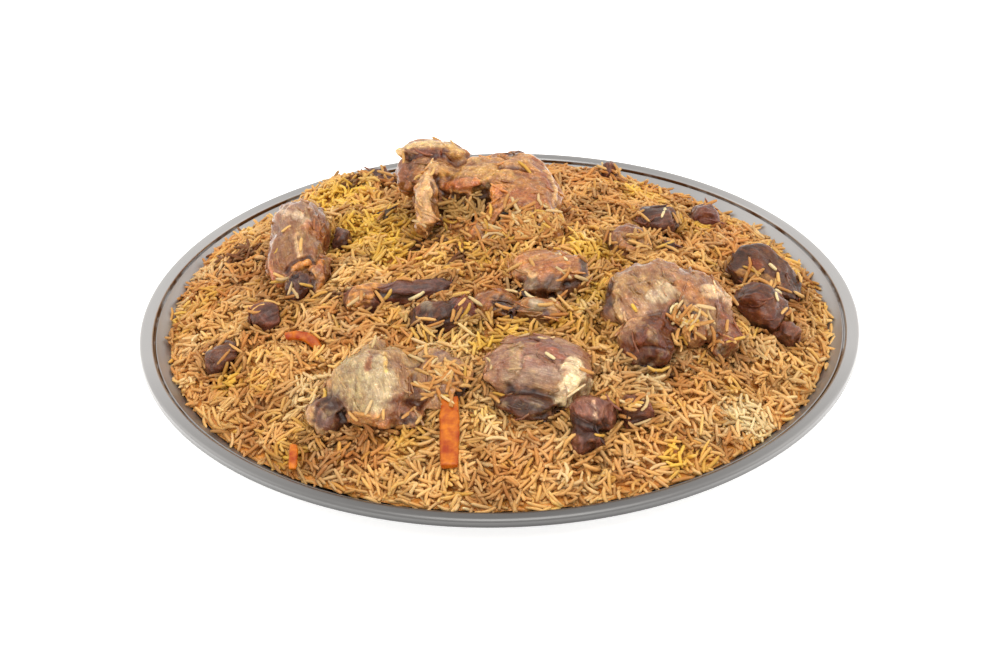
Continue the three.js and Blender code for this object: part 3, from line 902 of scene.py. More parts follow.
STRIP_STROKES = (
    ("dark band on top", ((378, 271), (392, 270), (406, 277), (440, 279)), 4, 0.6, "#412629", 0.9),
    # The face's purple is the meat's own colour with a painted sheen in it; the groove below it gets painted
    # shade.
    ("purple face", ((386, 290), (410, 284), (440, 284)), 5, 0.2, "#6C4A4C", 0.8),
    ("groove under the face", ((384, 294), (400, 297), (422, 296)), 2, -1.0, LEAN_DARK, 0.8),
    ("golden fat at the left", ((372, 283), (360, 292), (353, 304)), 8, 1.2, "#CC9556", 0.95),
    ("dark right end", ((444, 286), (452, 294)), 5, 0.0, "#4A2C26", 0.8),
)
CENTRE_CHUNK_STROKES = (
    ("grey knuckle", ((428, 304),), 5, 0.8, "#8E857F", 0.85),
    # Painted shade on the face turned away from the light.
    ("dark face", ((420, 318), (445, 322)), 8, 0.0, "#46281C", 0.7),
    ("reddish right side", ((462, 296), (468, 312)), 8, 0.0, "#7E4636", 0.8),
)
RIB_STROKES = (
    ("greyish skin", ((276, 216), (296, 206), (318, 208)), 9, 0.3, "#A08076", 0.9),
    ("white gristle", ((284, 214), (300, 216), (308, 224)), 4, 0.5, "#DCCCC4", 0.7),
    ("pink side", ((282, 240), (296, 252)), 8, 0.0, "#9E7658", 0.8),
    ("pale streak", ((296, 234), (300, 256)), 2.6, 0.6, "#DCC0A0", 0.8),
    ("orange side", ((310, 226), (322, 236)), 6, 0.0, "#AE6C3C", 0.8),
    # Painted shade in the crease.
    ("crease over the eye", ((286, 272), (294, 262), (310, 258), (316, 266)), 2, -1.0, "#6A3A1C", 0.8),
    ("sleeve of fat", ((289, 276), (296, 267), (308, 264), (315, 274), (316, 292)), 3.0, 1.4, "#C98C42", 0.95),
    ("eye of the bone", ((288, 288), (302, 276), (304, 300)), 12, -1.6, "#46201A", 1.0),
    ("glossy shoulder of the eye", ((290, 286), (294, 296)), 4, 0.5, "#6A3A2C", 0.7),
    ("orange corner", ((272, 272), (280, 282)), 5, 0.5, "#B8703E", 0.8),
    ("golden pillar", ((319, 262), (319, 290)), 4, 0.8, "#BC8240", 0.8),
    # Painted shade at the foot.
    ("dark left foot", ((262, 280), (270, 292)), 5, -1.5, CREVICE_SHADE, 0.7),
)
NECK_STROKES = (
    ("greenish fat", ((350, 358), (352, 384), (366, 406)), 12, 0.4, "#BAAE8C", 0.85),
    ("pale fat", ((372, 366), (384, 384), (380, 404)), 11, 0.8, WHITE_FAT, 0.85),
    ("fat at the back", ((370, 348), (395, 348), (412, 352)), 8, 0.3, "#B89E7C", 0.8),
    ("rust streak", ((370, 358), (368, 370)), 2.2, -0.4, "#B06A38", 0.8),
    ("yellow thread", ((384, 352), (386, 372)), 1.6, 0.4, "#DDBB60", 0.7),
    ("fibrous left edge", ((318, 378), (334, 376)), 9, 0.4, "#B89A70", 0.7),
    ("dark meat at the lower left", ((318, 398), (330, 412), (342, 430)), 10, -0.4, "#58372F", 0.95),
    ("purple gleam", ((318, 412), (328, 424)), 4, 0.4, "#6C4E4C", 0.7),
    # Painted shade in the pit.
    ("pit in the dark meat", ((340, 412), (344, 424)), 3, -2.0, CREVICE_SHADE, 0.9),
    ("orange lower edge", ((356, 420), (384, 420)), 6, 0.6, "#C8905C", 0.8),
    ("brown meat", ((398, 412), (410, 402), (424, 396)), 9, 0.0, "#8A573C", 0.9),
    ("grey spot in the brown meat", ((410, 398),), 4, 0.3, "#8E7C70", 0.7),
    # Painted shade at the foot.
    ("dark foot of the brown meat", ((404, 420), (424, 420)), 4, -1.0, "#4A2A1C", 0.8),
    ("purple bits at the back", ((442, 350), (456, 356)), 5, 0.4, "#7C5450", 0.85),
    ("tan shreds", ((430, 376), (450, 384), (468, 372)), 10, 0.4, "#A97E58", 0.7),
    # Painted shade in the pit.
    ("pit in the shreds", ((462, 392), (470, 402)), 5, -2.0, "#3A2014", 0.9),
)
LEG_STROKES = (
    ("mauve top", ((520, 366), (545, 362), (565, 356)), 14, 0.5, "#A47E78", 0.85),
    ("speckled left side", ((496, 350), (494, 376)), 10, 0.0, "#AE887C", 0.8),
    ("greenish streak", ((516, 344), (516, 370)), 4, 0.2, "#C8B892", 0.5),
    ("purple back", ((524, 338), (545, 340), (560, 350)), 5, 0.0, "#7A5050", 0.8),
    ("red ridge", ((540, 346), (562, 358), (580, 366)), 3, 0.8, "#94594A", 0.8),
    ("pale hollow of the top", ((508, 378), (530, 376), (556, 374)), 5, -0.4, "#B09A92", 0.7),
    ("streak of fat", ((574, 366), (572, 384), (560, 404)), 7, 1.0, "#EEE2CE", 1.0),
    ("rim under the band", ((498, 402), (515, 412), (544, 420)), 7, 0.0, "#5C3426", 0.95),
    ("fat to the right", ((578, 384), (596, 390)), 6, 0.8, "#D6C8B2", 0.85),
    ("dark band", ((508, 394), (528, 396), (548, 404)), 8, -0.3, "#4C2D22", 1.0),
    # Painted shade at the foot of the band and in the hollow under the fat.
    ("foot of the band", ((520, 406), (545, 418)), 5, -1.0, CREVICE_SHADE, 0.8),
    ("hollow under the fat", ((560, 412), (562, 426)), 5, -3.0, CREVICE_SHADE, 0.95),
)
LOBE_STROKES = (
    ("mauve top", ((578, 404), (606, 406)), 9, 0.6, "#8E6058", 0.9),
    ("white line", ((594, 402), (596, 416), (594, 428)), 1.4, 0.4, "#CFB0A0", 0.8),
    # Painted shade on the under side and at the foot.
    ("dark under side", ((572, 424), (590, 430), (604, 430)), 7, -0.8, "#4A2920", 0.95),
    ("foot", ((588, 448), (598, 452)), 6, 0.0, "#5A332A", 0.8),
)
FRONT_BIT_STROKES = (
    ("mauve top", ((622, 398), (645, 394)), 6, 0.4, "#8C5C50", 0.85),
    # Painted shade on the face turned away from the light.
    ("dark face", ((630, 422), (642, 426)), 6, -0.4, "#4C2C24", 0.9),
)
RIGHT_STROKES = (
    ("greyish back", ((648, 272), (672, 264), (694, 270)), 8, 0.0, "#B08870", 0.8),
    ("pale left shoulder", ((622, 284), (640, 282), (662, 286)), 9, 0.6, "#BE9C72", 0.8),
    ("grey sheen", ((655, 296), (668, 290)), 6, 0.4, "#DACDBE", 0.85),
    ("pink side", ((632, 310), (645, 322)), 9, 0.2, "#CCA286", 0.8),
    ("streak down the side", ((614, 300), (620, 318)), 3, 0.5, "#D8BC90", 0.8),
    ("orange shoulder", ((684, 286), (696, 292), (702, 298)), 6, 0.8, "#C48A56", 0.85),
    ("white sinew", ((708, 290), (722, 292), (728, 298)), 6, 1.2, "#E2C8B0", 0.9),
    ("dark left edge", ((606, 284), (602, 296), (606, 306)), 6, -0.3, "#4A2A1A", 0.95),
    ("fold over the leg", ((674, 302), (664, 318), (648, 336)), 3.5, 1.0, "#8E6248", 0.9),
    ("white edge of the leg", ((660, 328), (646, 336), (634, 348)), 2.2, 0.8, "#D8BA92", 0.9),
    ("dark red leg", ((662, 326), (652, 338), (644, 352), (650, 366)), 15, 0.2, "#66341A", 1.0),
    ("left of the leg", ((630, 344), (626, 360)), 9, 0.0, "#74432E", 1.0),
    ("right of the leg", ((666, 346), (664, 362)), 8, 0.0, "#5A2C1C", 1.0),
    # Painted shadow under the leg.
    ("dark foot of the leg", ((640, 366), (660, 368)), 5, -0.6, "#3A1E10", 0.9),
    ("orange seam of the leg", ((656, 344), (658, 356)), 1.8, -0.3, "#9A5A20", 0.7),
    # Painted shade in the recess.
    ("recess", ((678, 312), (684, 326)), 8, -3.0, "#54301F", 1.0),
    ("purple wall of the recess", ((690, 308), (694, 318)), 4, 0.0, "#5C3A34", 0.8),
    ("sinew down the front", ((696, 308), (706, 322), (718, 344)), 2.6, 1.2, "#D2BC9C", 0.9),
    ("red-brown column", ((724, 306), (730, 322), (734, 338)), 7, 0.4, "#86492C", 0.95),
    # Painted shade at the foot.
    ("foot of the column", ((724, 352), (728, 362)), 5, -1.0, "#4E3A28", 0.8),
)
UPPER_BLOCK_STROKES = (
    ("dark top", ((745, 255), (770, 256), (790, 272)), 12, 0.3, "#5E3824", 0.8),
    ("rusty spots", ((752, 262), (758, 268)), 3.5, 0.0, "#9A5230", 0.7),
    ("black ridge", ((734, 256), (750, 246), (766, 244)), 3, 0.3, "#3A221A", 0.7),
    ("dark right end", ((794, 284), (804, 292)), 6, 0.0, "#3C2420", 0.8),
    ("fat below", ((740, 272), (758, 276), (780, 284)), 3, 0.3, "#BE945E", 0.7),
)
LOWER_BLOCK_STROKES = (
    ("reddish face", ((745, 304), (765, 308), (775, 314)), 11, 0.3, "#6A3A26", 0.9),
    ("dark top", ((724, 282), (748, 286), (770, 290)), 6, 0.0, "#54301F", 0.8),
    # Painted shade at the foot.
    ("dark foot", ((744, 328), (764, 330)), 5, -0.6, "#33190F", 0.9),
)
RING_STROKES = (
    ("meat on the ring", ((634, 226), (646, 228)), 7, 0.4, "#94684C", 0.9),
    ("left wall of the ring", ((618, 234), (622, 244)), 3.2, 1.0, "#8E6646", 0.9),
    ("marrow", ((628, 238), (634, 242)), 5, -2.0, "#A87F46", 0.8),
    ("front of the ring", ((622, 246), (636, 251), (648, 248)), 2.6, 1.2, "#A97C50", 0.9),
    ("shade under the ring", ((616, 256), (632, 260)), 3.5, -0.8, "#3C2014", 0.9),
    # Painted shade at the foot.
    ("dark left foot", ((612, 246),), 4, 0.0, CREVICE_SHADE, 0.8),
)
BACK_CHUNK_STROKES = (
    ("dark left half", ((646, 212), (656, 206)), 7, 0.0, "#4A2922", 0.9),
    ("purple right half", ((668, 222), (678, 220)), 7, 0.4, "#6E463C", 0.8),
)

# Meat with fat on it, then lean meat: the node, its base colour, the way its fibres run, the
# size and height of its swells, and its strokes.
FATTY = (
    ("shoulder_joint", "#C08850", (0.8, 0.1, -0.6), 15, 1.5, JOINT_STROKES),
    ("shank_slice", "#BE8450", (1.0, 0.3, -0.1), 12, 0.8, SHANK_STROKES),
    ("sinew_piece", "#A8743A", (1.0, 0.0, -0.2), 8, 1.0, SINEW_STROKES),
    ("rib_piece_left", "#92623E", (0.2, -0.9, -0.5), 13, 1.2, RIB_STROKES),
    ("neck_piece", "#B48E68", (0.3, -0.9, -0.3), 11, 1.2, NECK_STROKES),
    ("leg_piece", "#A67A66", (1.0, -0.2, -0.2), 13, 1.0, LEG_STROKES),
    ("shoulder_piece_right", "#A47A58", (0.5, -0.8, -0.4), 13, 1.0, RIGHT_STROKES),
    ("marrow_ring", "#8E6446", (0.6, 0.8, 0.0), 7, 0.9, RING_STROKES),
)
LEANER = (
    ("long_strip", "#684442", (1.0, 0.0, 0.1), 9, 0.8, STRIP_STROKES),
    ("lean_chunk_centre", "#583528", (0.7, 0.7, 0.0), 8, 0.8, CENTRE_CHUNK_STROKES),
    ("leg_lobe", "#8C5C50", (0.5, -0.8, -0.3), 9, 0.6, LOBE_STROKES),
    ("lean_bit_front", "#7E4F44", (1.0, 0.2, 0.0), 7, 0.6, FRONT_BIT_STROKES),
    ("lean_block_upper", "#5C3828", (0.8, -0.6, 0.0), 9, 0.8, UPPER_BLOCK_STROKES),
    ("lean_block_lower", "#6A3E2A", (0.9, -0.4, 0.0), 9, 0.7, LOWER_BLOCK_STROKES),
    ("lean_chunk_left", "#6C4440", (0.8, 0.6, 0.0), 7, 0.7, ()),
    ("lean_chunk_far_left", "#664238", (0.9, 0.4, 0.0), 7, 0.7, ()),
    ("lean_nub_right", "#744834", (0.3, 1.0, 0.0), 6, 0.7, ()),
    ("lean_chunk_back", "#5C3830", (0.9, 0.3, 0.0), 7, 0.8, BACK_CHUNK_STROKES),
    ("lean_chunk_back_right", "#7A4840", (1.0, 0.2, 0.0), 7, 0.7, ()),
    ("lean_nub_back", "#6A3E34", (0.2, 1.0, 0.0), 6, 0.8, ()),
    ("lean_nub_left", "#5A3A34", (0.6, 0.8, 0.0), 6, 0.8, ()),
    ("lean_chunk_back_left", "#6E4636", (0.7, 0.7, 0.0), 7, 1.0, ()),
    ("browned_bit_left", "#4A3A2A", (1.0, 0.0, 0.0), 4, 0.5, ()),
    ("browned_bit_back", "#5A3A28", (1.0, 0.0, 0.0), 4, 0.5, ()),
)


def fatty_meat(finish):
    """The pieces under skin and fat: soft folds, thin threads of tissue and browned blotches."""
    made = []
    for number, (node, pigment, along, length, height, strokes) in enumerate(FATTY):
        lump = Lump(node, pigment, along)
        seed = 100 + 10 * number
        if node not in ("shoulder_joint", "rib_piece_left"):
            lump.chop(6, seed + 9, 0.8, 0.93)
        lump.swell(length, 1.3 * height, seed)
        lump.folds(length * 1.6, 0.9, seed + 1)
        lump.swell(7.0, 1.1, seed + 5)
        lump.swell(3.6, 0.45, seed + 16)
        lump.blotches(9.0, RUST, 0.45, 0.4, seed + 2, drawn=2.0)
        lump.blotches(6.0, CREAM, 0.42, 0.3, seed + 4, drawn=2.5)
        lump.blotches(2.6, "#7E461F", 0.42, 0.35, seed + 11, drawn=4.0)
        lump.fibres(3.4, 20.0, 0.28, seed + 6)
        for _, path, width, lift, colour, cover in strokes:
            lump.stroke(path, width, 1.2 * lift, colour, cover)
        lump.blotches(6.0, "#8C5C46", 0.3, 0.28, seed + 14, drawn=1.6)
        lump.blotches(3.0, "#E4D2B0", 0.26, 0.18, seed + 15, drawn=2.0)
        lump.blotches(2.2, "#7A421E", 0.34, 0.32, seed + 12, drawn=3.0)
        lump.fibres(2.0, 9.0, 0.26, seed + 8)
        # Painted shade in the creases and painted highlights on the ridges, broad and fine.
        lump.paint_shade_and_highlight(20, 1.5, 0.9)
        lump.paint_shade_and_highlight(3, 0.4, 0.6)
        lump.serve(finish, "fat_meat")
        made.append(lump)
    return made


def leaner_meat(finish):
    """The lean pieces: dense dark meat that parts along its fibres."""
    made = []
    for number, (node, pigment, along, length, height, strokes) in enumerate(LEANER):
        lump = Lump(node, pigment, along)
        seed = 300 + 10 * number
        lump.chop(9, seed + 1, 0.66, 0.84)
        lump.swell(length, 0.7 * height, seed)
        lump.swell(5.0, 0.7, seed + 5)
        lump.blotches(7.0, LEAN_DARK, 0.5, 0.45, seed + 2, drawn=2.5)
        lump.blotches(5.0, RUST, 0.35, 0.4, seed + 4, drawn=2.0)
        lump.fibres(3.0, 18.0, 0.35, seed + 6)
        for _, path, width, lift, colour, cover in strokes:
            lump.stroke(path, width, lift, colour, cover)
        lump.fibres(1.8, 9.0, 0.3, seed + 8)
        lump.blotches(2.2, "#9A5E38", 0.3, 0.35, seed + 11, drawn=5.0)
        lump.blotches(2.4, "#2C140A", 0.4, 0.4, seed + 13, drawn=4.0)
        # Painted shade in the creases and painted highlights on the ridges, broad and fine.
        lump.paint_shade_and_highlight(14, 1.2, 0.9)
        lump.paint_shade_and_highlight(3, 0.35, 0.6)
        lump.serve(finish, "lean_meat")
        made.append(lump)
    return made


def carrots(finish):
    """The carrot batons: the nodes' own bars with soft edges and a slightly uneven skin."""
    made = []
    for number, node in enumerate(("carrot_baton", "carrot_curl", "carrot_bit")):
        lump = Lump(node, ORANGE, voxel=0.6)
        lump.swell(5.0, 0.4, 500 + number)
        lump.swell(2.4, 0.2, 510 + number)
        place(lump.piece, lump.points)
        lump.look_up()
        lump.piece.name = "simmered_" + node
        settle(lump.piece, finish, "carrot", node)
        made.append(lump)
    return made


# Grains are laid on a map of the heap's height, one value for each half millimetre.
CELL = 0.5
MAP_REACH = 200.0
MAP_ROWS = int(2 * MAP_REACH / CELL) + 1
STATIONS = np.linspace(-0.46, 0.46, 9)
LANES = np.array((-0.7, 0.0, 0.7))
SLOPES = np.tan(np.radians(np.arange(-54, 55, 4)))
# Turns in which a grain is tried, from the way its neighbours lie.
TURNS = np.radians((0.0, 24.0, -24.0, 52.0, -52.0))
MARKS = np.linspace(-0.5, 0.5, 25)
MARK_LANES = np.array((-0.9, -0.5, 0.0, 0.5, 0.9))


def height_map(tree, start=200.0):
    """Height of the first face met from above, or from a start below, over each cell of the
    plan, 0 where there is none."""
    steps = np.arange(-MAP_REACH, MAP_REACH + 2 * CELL, 2 * CELL)
    way = Vector((0.0, 0.0, -1.0 if start > 0 else 1.0))
    coarse = np.zeros((len(steps), len(steps)))
    for row, y in enumerate(steps):
        for column, x in enumerate(steps):
            met = tree.ray_cast(Vector((x, y, start)), way)[0]
            if met is not None:
                coarse[row, column] = met.z
    fine = np.repeat(np.repeat(coarse, 2, 0), 2, 1)[:MAP_ROWS, :MAP_ROWS]
    return fine


def cells(x, y):
    """Row and column of the map under each place."""
    rows = np.clip(((y + MAP_REACH) / CELL).astype(int), 0, MAP_ROWS - 1)
    columns = np.clip(((x + MAP_REACH) / CELL).astype(int), 0, MAP_ROWS - 1)
    return rows, columns


class Grains:
    """The loose grains, each a centre, an axis, a roll, a length, a form and a colour."""

    def __init__(self, seed):
        self.draw = np.random.default_rng(seed)
        self.rows = []

    def keep(self, centre, axis, roll, length, colour):
        """Remembers one grain; the straighter models come first and are commoner."""
        form = min(int(self.draw.exponential(2.0)), len(GRAIN_BENDS) - 1)
        half = axis * length / 2
        reach = max(math.hypot(*end[:2]) for end in (centre - half, centre + half))
        top = centre[2] + abs(half[2]) + GRAIN_THICKNESS
        if reach + GRAIN_THICKNESS < MOST_REACH and top < MOST_HEIGHT:
            self.rows.append((*centre, *axis, roll, length, form, *colour[:3]))

    def lie(self, top, x, y, turn, length):
        """Height and slope of a grain dropped on the map: it rests on the line over what is
        under it that is lowest at its middle."""
        along = STATIONS * length
        lanes = LANES * GRAIN_THICKNESS / 2
        at_x = x + math.cos(turn) * along[:, None] - math.sin(turn) * lanes
        at_y = y + math.sin(turn) * along[:, None] + math.cos(turn) * lanes
        under = top[cells(at_x, at_y)].max(1)
        rests = (under - SLOPES[:, None] * along).max(1)
        pick = rests.argmin()
        return rests[pick], SLOPES[pick]

    def mark(self, top, x, y, z, turn, slope, length):
        """Raises the map where a grain now lies."""
        along = MARKS * length * math.cos(math.atan(slope))
        lanes = MARK_LANES * GRAIN_THICKNESS / 2
        at_x = x + math.cos(turn) * along[:, None] - math.sin(turn) * lanes
        at_y = y + math.sin(turn) * along[:, None] + math.cos(turn) * lanes
        height = z + slope * along[:, None] + np.sqrt(1 - MARK_LANES**2) * GRAIN_THICKNESS / 2
        np.maximum.at(top, cells(at_x, at_y), height)

    def drop(self, top, x, y, colour, limit, lay, blocked=None, steepest=1.1, broken=False):
        """Lays one grain near a place in the plan, turned from the angle lay to the way that lets
        it lie lowest, unless it would be too steep, too high or is blocked."""
        press = GRAIN_PRESS
        length = self.draw.uniform(SHORTEST_GRAIN, LONGEST_GRAIN)
        if broken:
            length = self.draw.uniform(SHORTEST_BROKEN, LONGEST_BROKEN)
        found = []
        for turn in lay + self.draw.normal(0, 0.35) + TURNS:
            near_x, near_y = x + self.draw.normal(0, 0.9), y + self.draw.normal(0, 0.9)
            found.append((*self.lie(top, near_x, near_y, turn, length), near_x, near_y, turn))
        rest, slope, x, y, turn = min(found)
        if abs(slope) > steepest or rest + GRAIN_THICKNESS - press > limit:
            return False
        tilt = self.draw.normal(0, GRAIN_TILT)
        slope += tilt
        z = rest + GRAIN_THICKNESS / 2 - press + 0.2 * abs(tilt) * length
        run = math.cos(math.atan(slope))
        axis = np.array((math.cos(turn) * run, math.sin(turn) * run, slope * run))
        centre = np.array((x, y, z))
        if blocked and blocked(centre, axis * length / 2):
            return False
        self.mark(top, x, y, z, turn, slope, length)
        self.keep(centre, axis, self.draw.normal(0, 0.7), length, colour)
        return True

    def between(self, start, end, up, colour):
        """Lays one grain from one place to another."""
        axis = end - start
        length = float(np.clip(np.linalg.norm(axis), 6.0, 14.0))
        centre = (start + end) / 2 + up * GRAIN_THICKNESS * 0.4
        self.keep(centre, axis / np.linalg.norm(axis), self.draw.normal(0, 0.5), length, colour)


# Bend of each model of a grain, in degrees from end to end.
GRAIN_BENDS = (12, 30, 50, 75, 110)
GRAIN_SIDES, GRAIN_BANDS = 5, 5
MOST_GRAINS_A_PIECE = 4800


def grain_model(bend):
    """One grain along X: a rod with tapered ends, bent sideways. For each vertex the middle of
    its ring, by the grain's length, and its way from there, by the thickness; then the faces."""
    bpy.ops.object.select_all(action="DESELECT")
    bpy.ops.mesh.primitive_uv_sphere_add(segments=GRAIN_SIDES, ring_count=GRAIN_BANDS, radius=1.0)
    grain = bpy.context.object
    ball = places(grain) * MM
    reach = ball[:, 2]
    spoke = ball[:, :2] / np.maximum(np.linalg.norm(ball[:, :2], axis=1), 1e-6)[:, None]
    girth = np.clip(1 - np.abs(reach) ** 4.5, 0, 1) ** 0.5 * 0.5
    rod = np.stack([reach * 0.5, spoke[:, 0] * girth * 0.2, spoke[:, 1] * girth * 0.2], 1)
    place(grain, rod / MM)
    shaped_by(grain, "SIMPLE_DEFORM", deform_method="BEND", deform_axis="Z", angle=math.radians(bend))
    shaped_by(grain, "TRIANGULATE")
    rod = places(grain) * MM
    rod -= (rod.max(0) + rod.min(0)) / 2
    rings = np.unique(reach.round(3), return_inverse=True)[1].ravel()
    middle = np.array([rod[rings == ring].mean(0) for ring in rings])
    faces = np.array([tuple(face.vertices) for face in grain.data.polygons])
    bpy.data.objects.remove(grain)
    return middle / np.ptp(rod[:, 0]), (rod - middle) / 0.2, faces


def grain_meshes(grains, name, finish, slot, thickness, tips):
    """All grains as joined meshes, a sector of the plate each, under the limit for one piece."""
    models = [grain_model(bend) for bend in GRAIN_BENDS]
    rows = np.array(grains.rows)
    rows = rows[np.argsort(np.arctan2(rows[:, 1], rows[:, 0]), kind="stable")]
    parts = math.ceil(len(rows) / MOST_GRAINS_A_PIECE)
    for number, share in enumerate(np.array_split(rows, parts)):
        piece = joined_grains(f"{name}_{number + 1}", share, models, thickness, tips)
        settle(piece, finish, slot)


def joined_grains(name, rows, models, thickness, tips):
    """One mesh of many grains, with a paler colour towards their tips."""
    points, faces, colours, start = [], [], [], 0
    for form, (middle, away, triangles) in enumerate(models):
        chosen = rows[rows[:, 8] == form]
        if not len(chosen):
            continue
        axis = chosen[:, 3:6]
        side = np.cross(np.array((0.0, 0.0, 1.0)), axis)
        side /= np.maximum(np.linalg.norm(side, axis=1), 1e-6)[:, None]
        up = np.cross(axis, side)
        roll, length = chosen[:, 6], chosen[:, 7]
        turned = side * np.cos(roll)[:, None] + up * np.sin(roll)[:, None]
        raised = up * np.cos(roll)[:, None] - side * np.sin(roll)[:, None]
        ways = np.stack([axis, turned, raised], 1)
        thick = thickness * (0.85 + 0.3 * lattice(np.arange(len(chosen)), form, 7, 3))
        local = middle[None] * length[:, None, None] + away[None] * thick[:, None, None]
        placed = chosen[:, None, 0:3] + np.einsum("gvk,gkc->gvc", local, ways)
        count = len(middle)
        shift = start + count * np.arange(len(chosen))
        faces.append((triangles[None] + shift[:, None, None]).reshape(-1, 3))
        points.append(placed.reshape(-1, 3))
        pale = (0.3 * (2 * np.abs(middle[:, 0])) ** 3)[None, :, None]
        pale = pale * lattice(np.arange(len(chosen)), form, 5, 9)[:, None, None]
        colour = chosen[:, None, 9:12] * (1 - pale) + np.array(linear(tips)[:3]) * pale
        colours.append(np.concatenate([colour, np.ones((*colour.shape[:2], 1))], 2).reshape(-1, 4))
        start += count * len(chosen)
    mesh = bpy.data.meshes.new(name)
    mesh.from_pydata((np.concatenate(points) * MM).tolist(), [], np.concatenate(faces).tolist())
    piece = bpy.data.objects.new(name, mesh)
    bpy.context.scene.collection.objects.link(piece)
    keep_attribute(piece, "pigment", "FLOAT_COLOR", np.concatenate(colours))
    return piece


# Colours of the grains: most, the browned ones, those dyed with saffron and the undyed ones.
PEACH_RICE, BROWNED_RICE, SAFFRON_RICE, CREAM_RICE = "#DEB06B", "#BC7A3C", "#E0B446", "#E0CC9C"
SHREDDED_MEAT = "#6A3C20"

# Where the rice differs: what it is, its photo pixel, its radius and its strength.
SAFFRON_PATCHES = (
    ("back left of the ribs", (336, 200), 26, 0.9),
    ("beside the pillar", (382, 232), 30, 1.0),
    ("left of the strip", (350, 250), 28, 0.9),
    ("under the pillar", (445, 234), 12, 0.9),
    ("beside the shank", (592, 256), 20, 0.8),
    ("middle", (456, 256), 24, 0.5),
    ("above the strip", (394, 256), 22, 0.8),
    ("before the middle", (505, 338), 22, 0.6),
    ("before the shank", (556, 322), 20, 0.5),
    ("right of the shank", (600, 300), 18, 0.7),
    ("behind the dark chunk", (640, 202), 20, 0.6),
    ("between the back chunks", (708, 198), 18, 0.5),
    ("beside the marrow ring", (668, 235), 14, 0.7),
    ("beside the dark chunk", (690, 235), 14, 0.6),
    ("middle of the platter", (480, 335), 20, 0.6),
    ("right of the sinew", (590, 330), 14, 0.6),
    ("behind the neck piece", (430, 335), 16, 0.5),
    ("far left", (195, 320), 22, 0.4),
    ("beside the far left chunk", (240, 385), 16, 0.5),
    ("in front of the neck piece", (415, 450), 14, 0.5),
    ("front right edge", (690, 468), 20, 0.35),
    ("right edge", (806, 300), 26, 0.5),
    ("back of the right edge", (790, 260), 20, 0.45),
    ("before the strip", (490, 260), 22, 0.4),
    ("front left", (300, 450), 14, 0.4),
)
CREAM_PATCHES = (
    ("before the centre chunk", (446, 338), 20, 0.6),
    ("above the shank", (530, 240), 22, 0.4),
    ("right of the middle", (590, 318), 14, 0.5),
    ("pale clump", (746, 424), 14, 1.0),
    ("left of the neck piece", (315, 395), 18, 0.5),
    ("right of the leg piece", (650, 375), 20, 0.5),
    ("below the strip", (420, 318), 16, 0.4),
    ("below the sinew", (600, 318), 14, 0.4),
    ("front of the leg piece", (500, 425), 18, 0.4),
    ("beside the right piece", (740, 355), 20, 0.3),
)
# Browned rice; the patches at the back, the back right and the middle are painted shade, darker grains where the
# heap is in shade.
BROWNED_AND_SHADED_PATCHES = (
    ("front right", (690, 430), 34, 0.8),
    ("front", (560, 480), 40, 0.5),
    ("back right", (600, 200), 34, 0.5),
    ("left", (215, 285), 50, 1.2),
    ("front left", (330, 455), 26, 0.5),
    ("back of the right piece", (740, 320), 30, 0.3),
    ("back", (630, 190), 60, 1.1),
    ("left of the back", (580, 215), 50, 0.7),
    ("right of the marrow ring", (700, 240), 36, 0.6),
    ("middle", (480, 290), 60, 0.35),
    ("below the strip", (390, 330), 40, 0.4),
)
SHRED_PATCHES = (
    ("beside the rib piece", (241, 231), 14, 0.85),
    ("below the joint", (428, 254), 9, 0.45),
    ("right of the pillar's foot", (464, 264), 10, 0.35),
    ("below them", (239, 262), 14, 0.85),
    ("far left", (208, 254), 10, 0.6),
    ("behind the joint", (352, 188), 10, 0.7),
    ("left of the strip", (342, 303), 9, 0.9),
    ("beside the left chunk", (258, 318), 7, 0.5),
    ("under the right piece", (655, 372), 9, 0.5),
)

# Where the rice lies lower, at the feet of pieces: photo pixel, radius and depth in millimetres.
DIPS = (
    ("eye of the rib piece", (298, 300), 15, 4.5),
    ("before the strip", (405, 302), 18, 3.0),
    ("before the centre chunk", (446, 328), 14, 3.5),
    ("before the sinew", (520, 322), 12, 2.5),
    ("before the shank", (545, 298), 14, 2.5),
    ("left chunk", (262, 326), 10, 3.0),
    ("far left chunk", (214, 374), 10, 3.0),
    ("foot of the right leg", (656, 372), 14, 3.5),
    ("foot of the leg piece", (530, 420), 18, 3.0),
    ("foot of the lobe", (594, 436), 12, 3.0),
    ("foot of the blocks", (764, 336), 12, 3.0),
    ("dark foot of the neck piece", (334, 432), 10, 2.5),
)


def on_heap(tree, pixel):
    """The place on the heap that a photo pixel shows."""
    ray = CAMERA_FORWARD + CAMERA_RIGHT * ((pixel[0] - PHOTO_WIDTH / 2) / FOCAL_PIXELS)
    ray = (ray - CAMERA_UP * ((pixel[1] - PHOTO_HEIGHT / 2) / FOCAL_PIXELS)).normalized()
    met, normal = tree.ray_cast(CAMERA_PLACE, ray)[:2]
    return np.array(met), np.array(normal)


def patch_strength(patches, spots, points):
    """How strongly any patch is felt at each place in the plan."""
    total = np.zeros(len(points))
    for (_, _, radius, strength), (spot, _) in zip(patches, spots):
        away = np.linalg.norm(points[:, :2] - spot[:2], axis=1)
        total = np.maximum(total, strength * (1 - ease(away, 0.45 * radius, 1.25 * radius)))
    return total


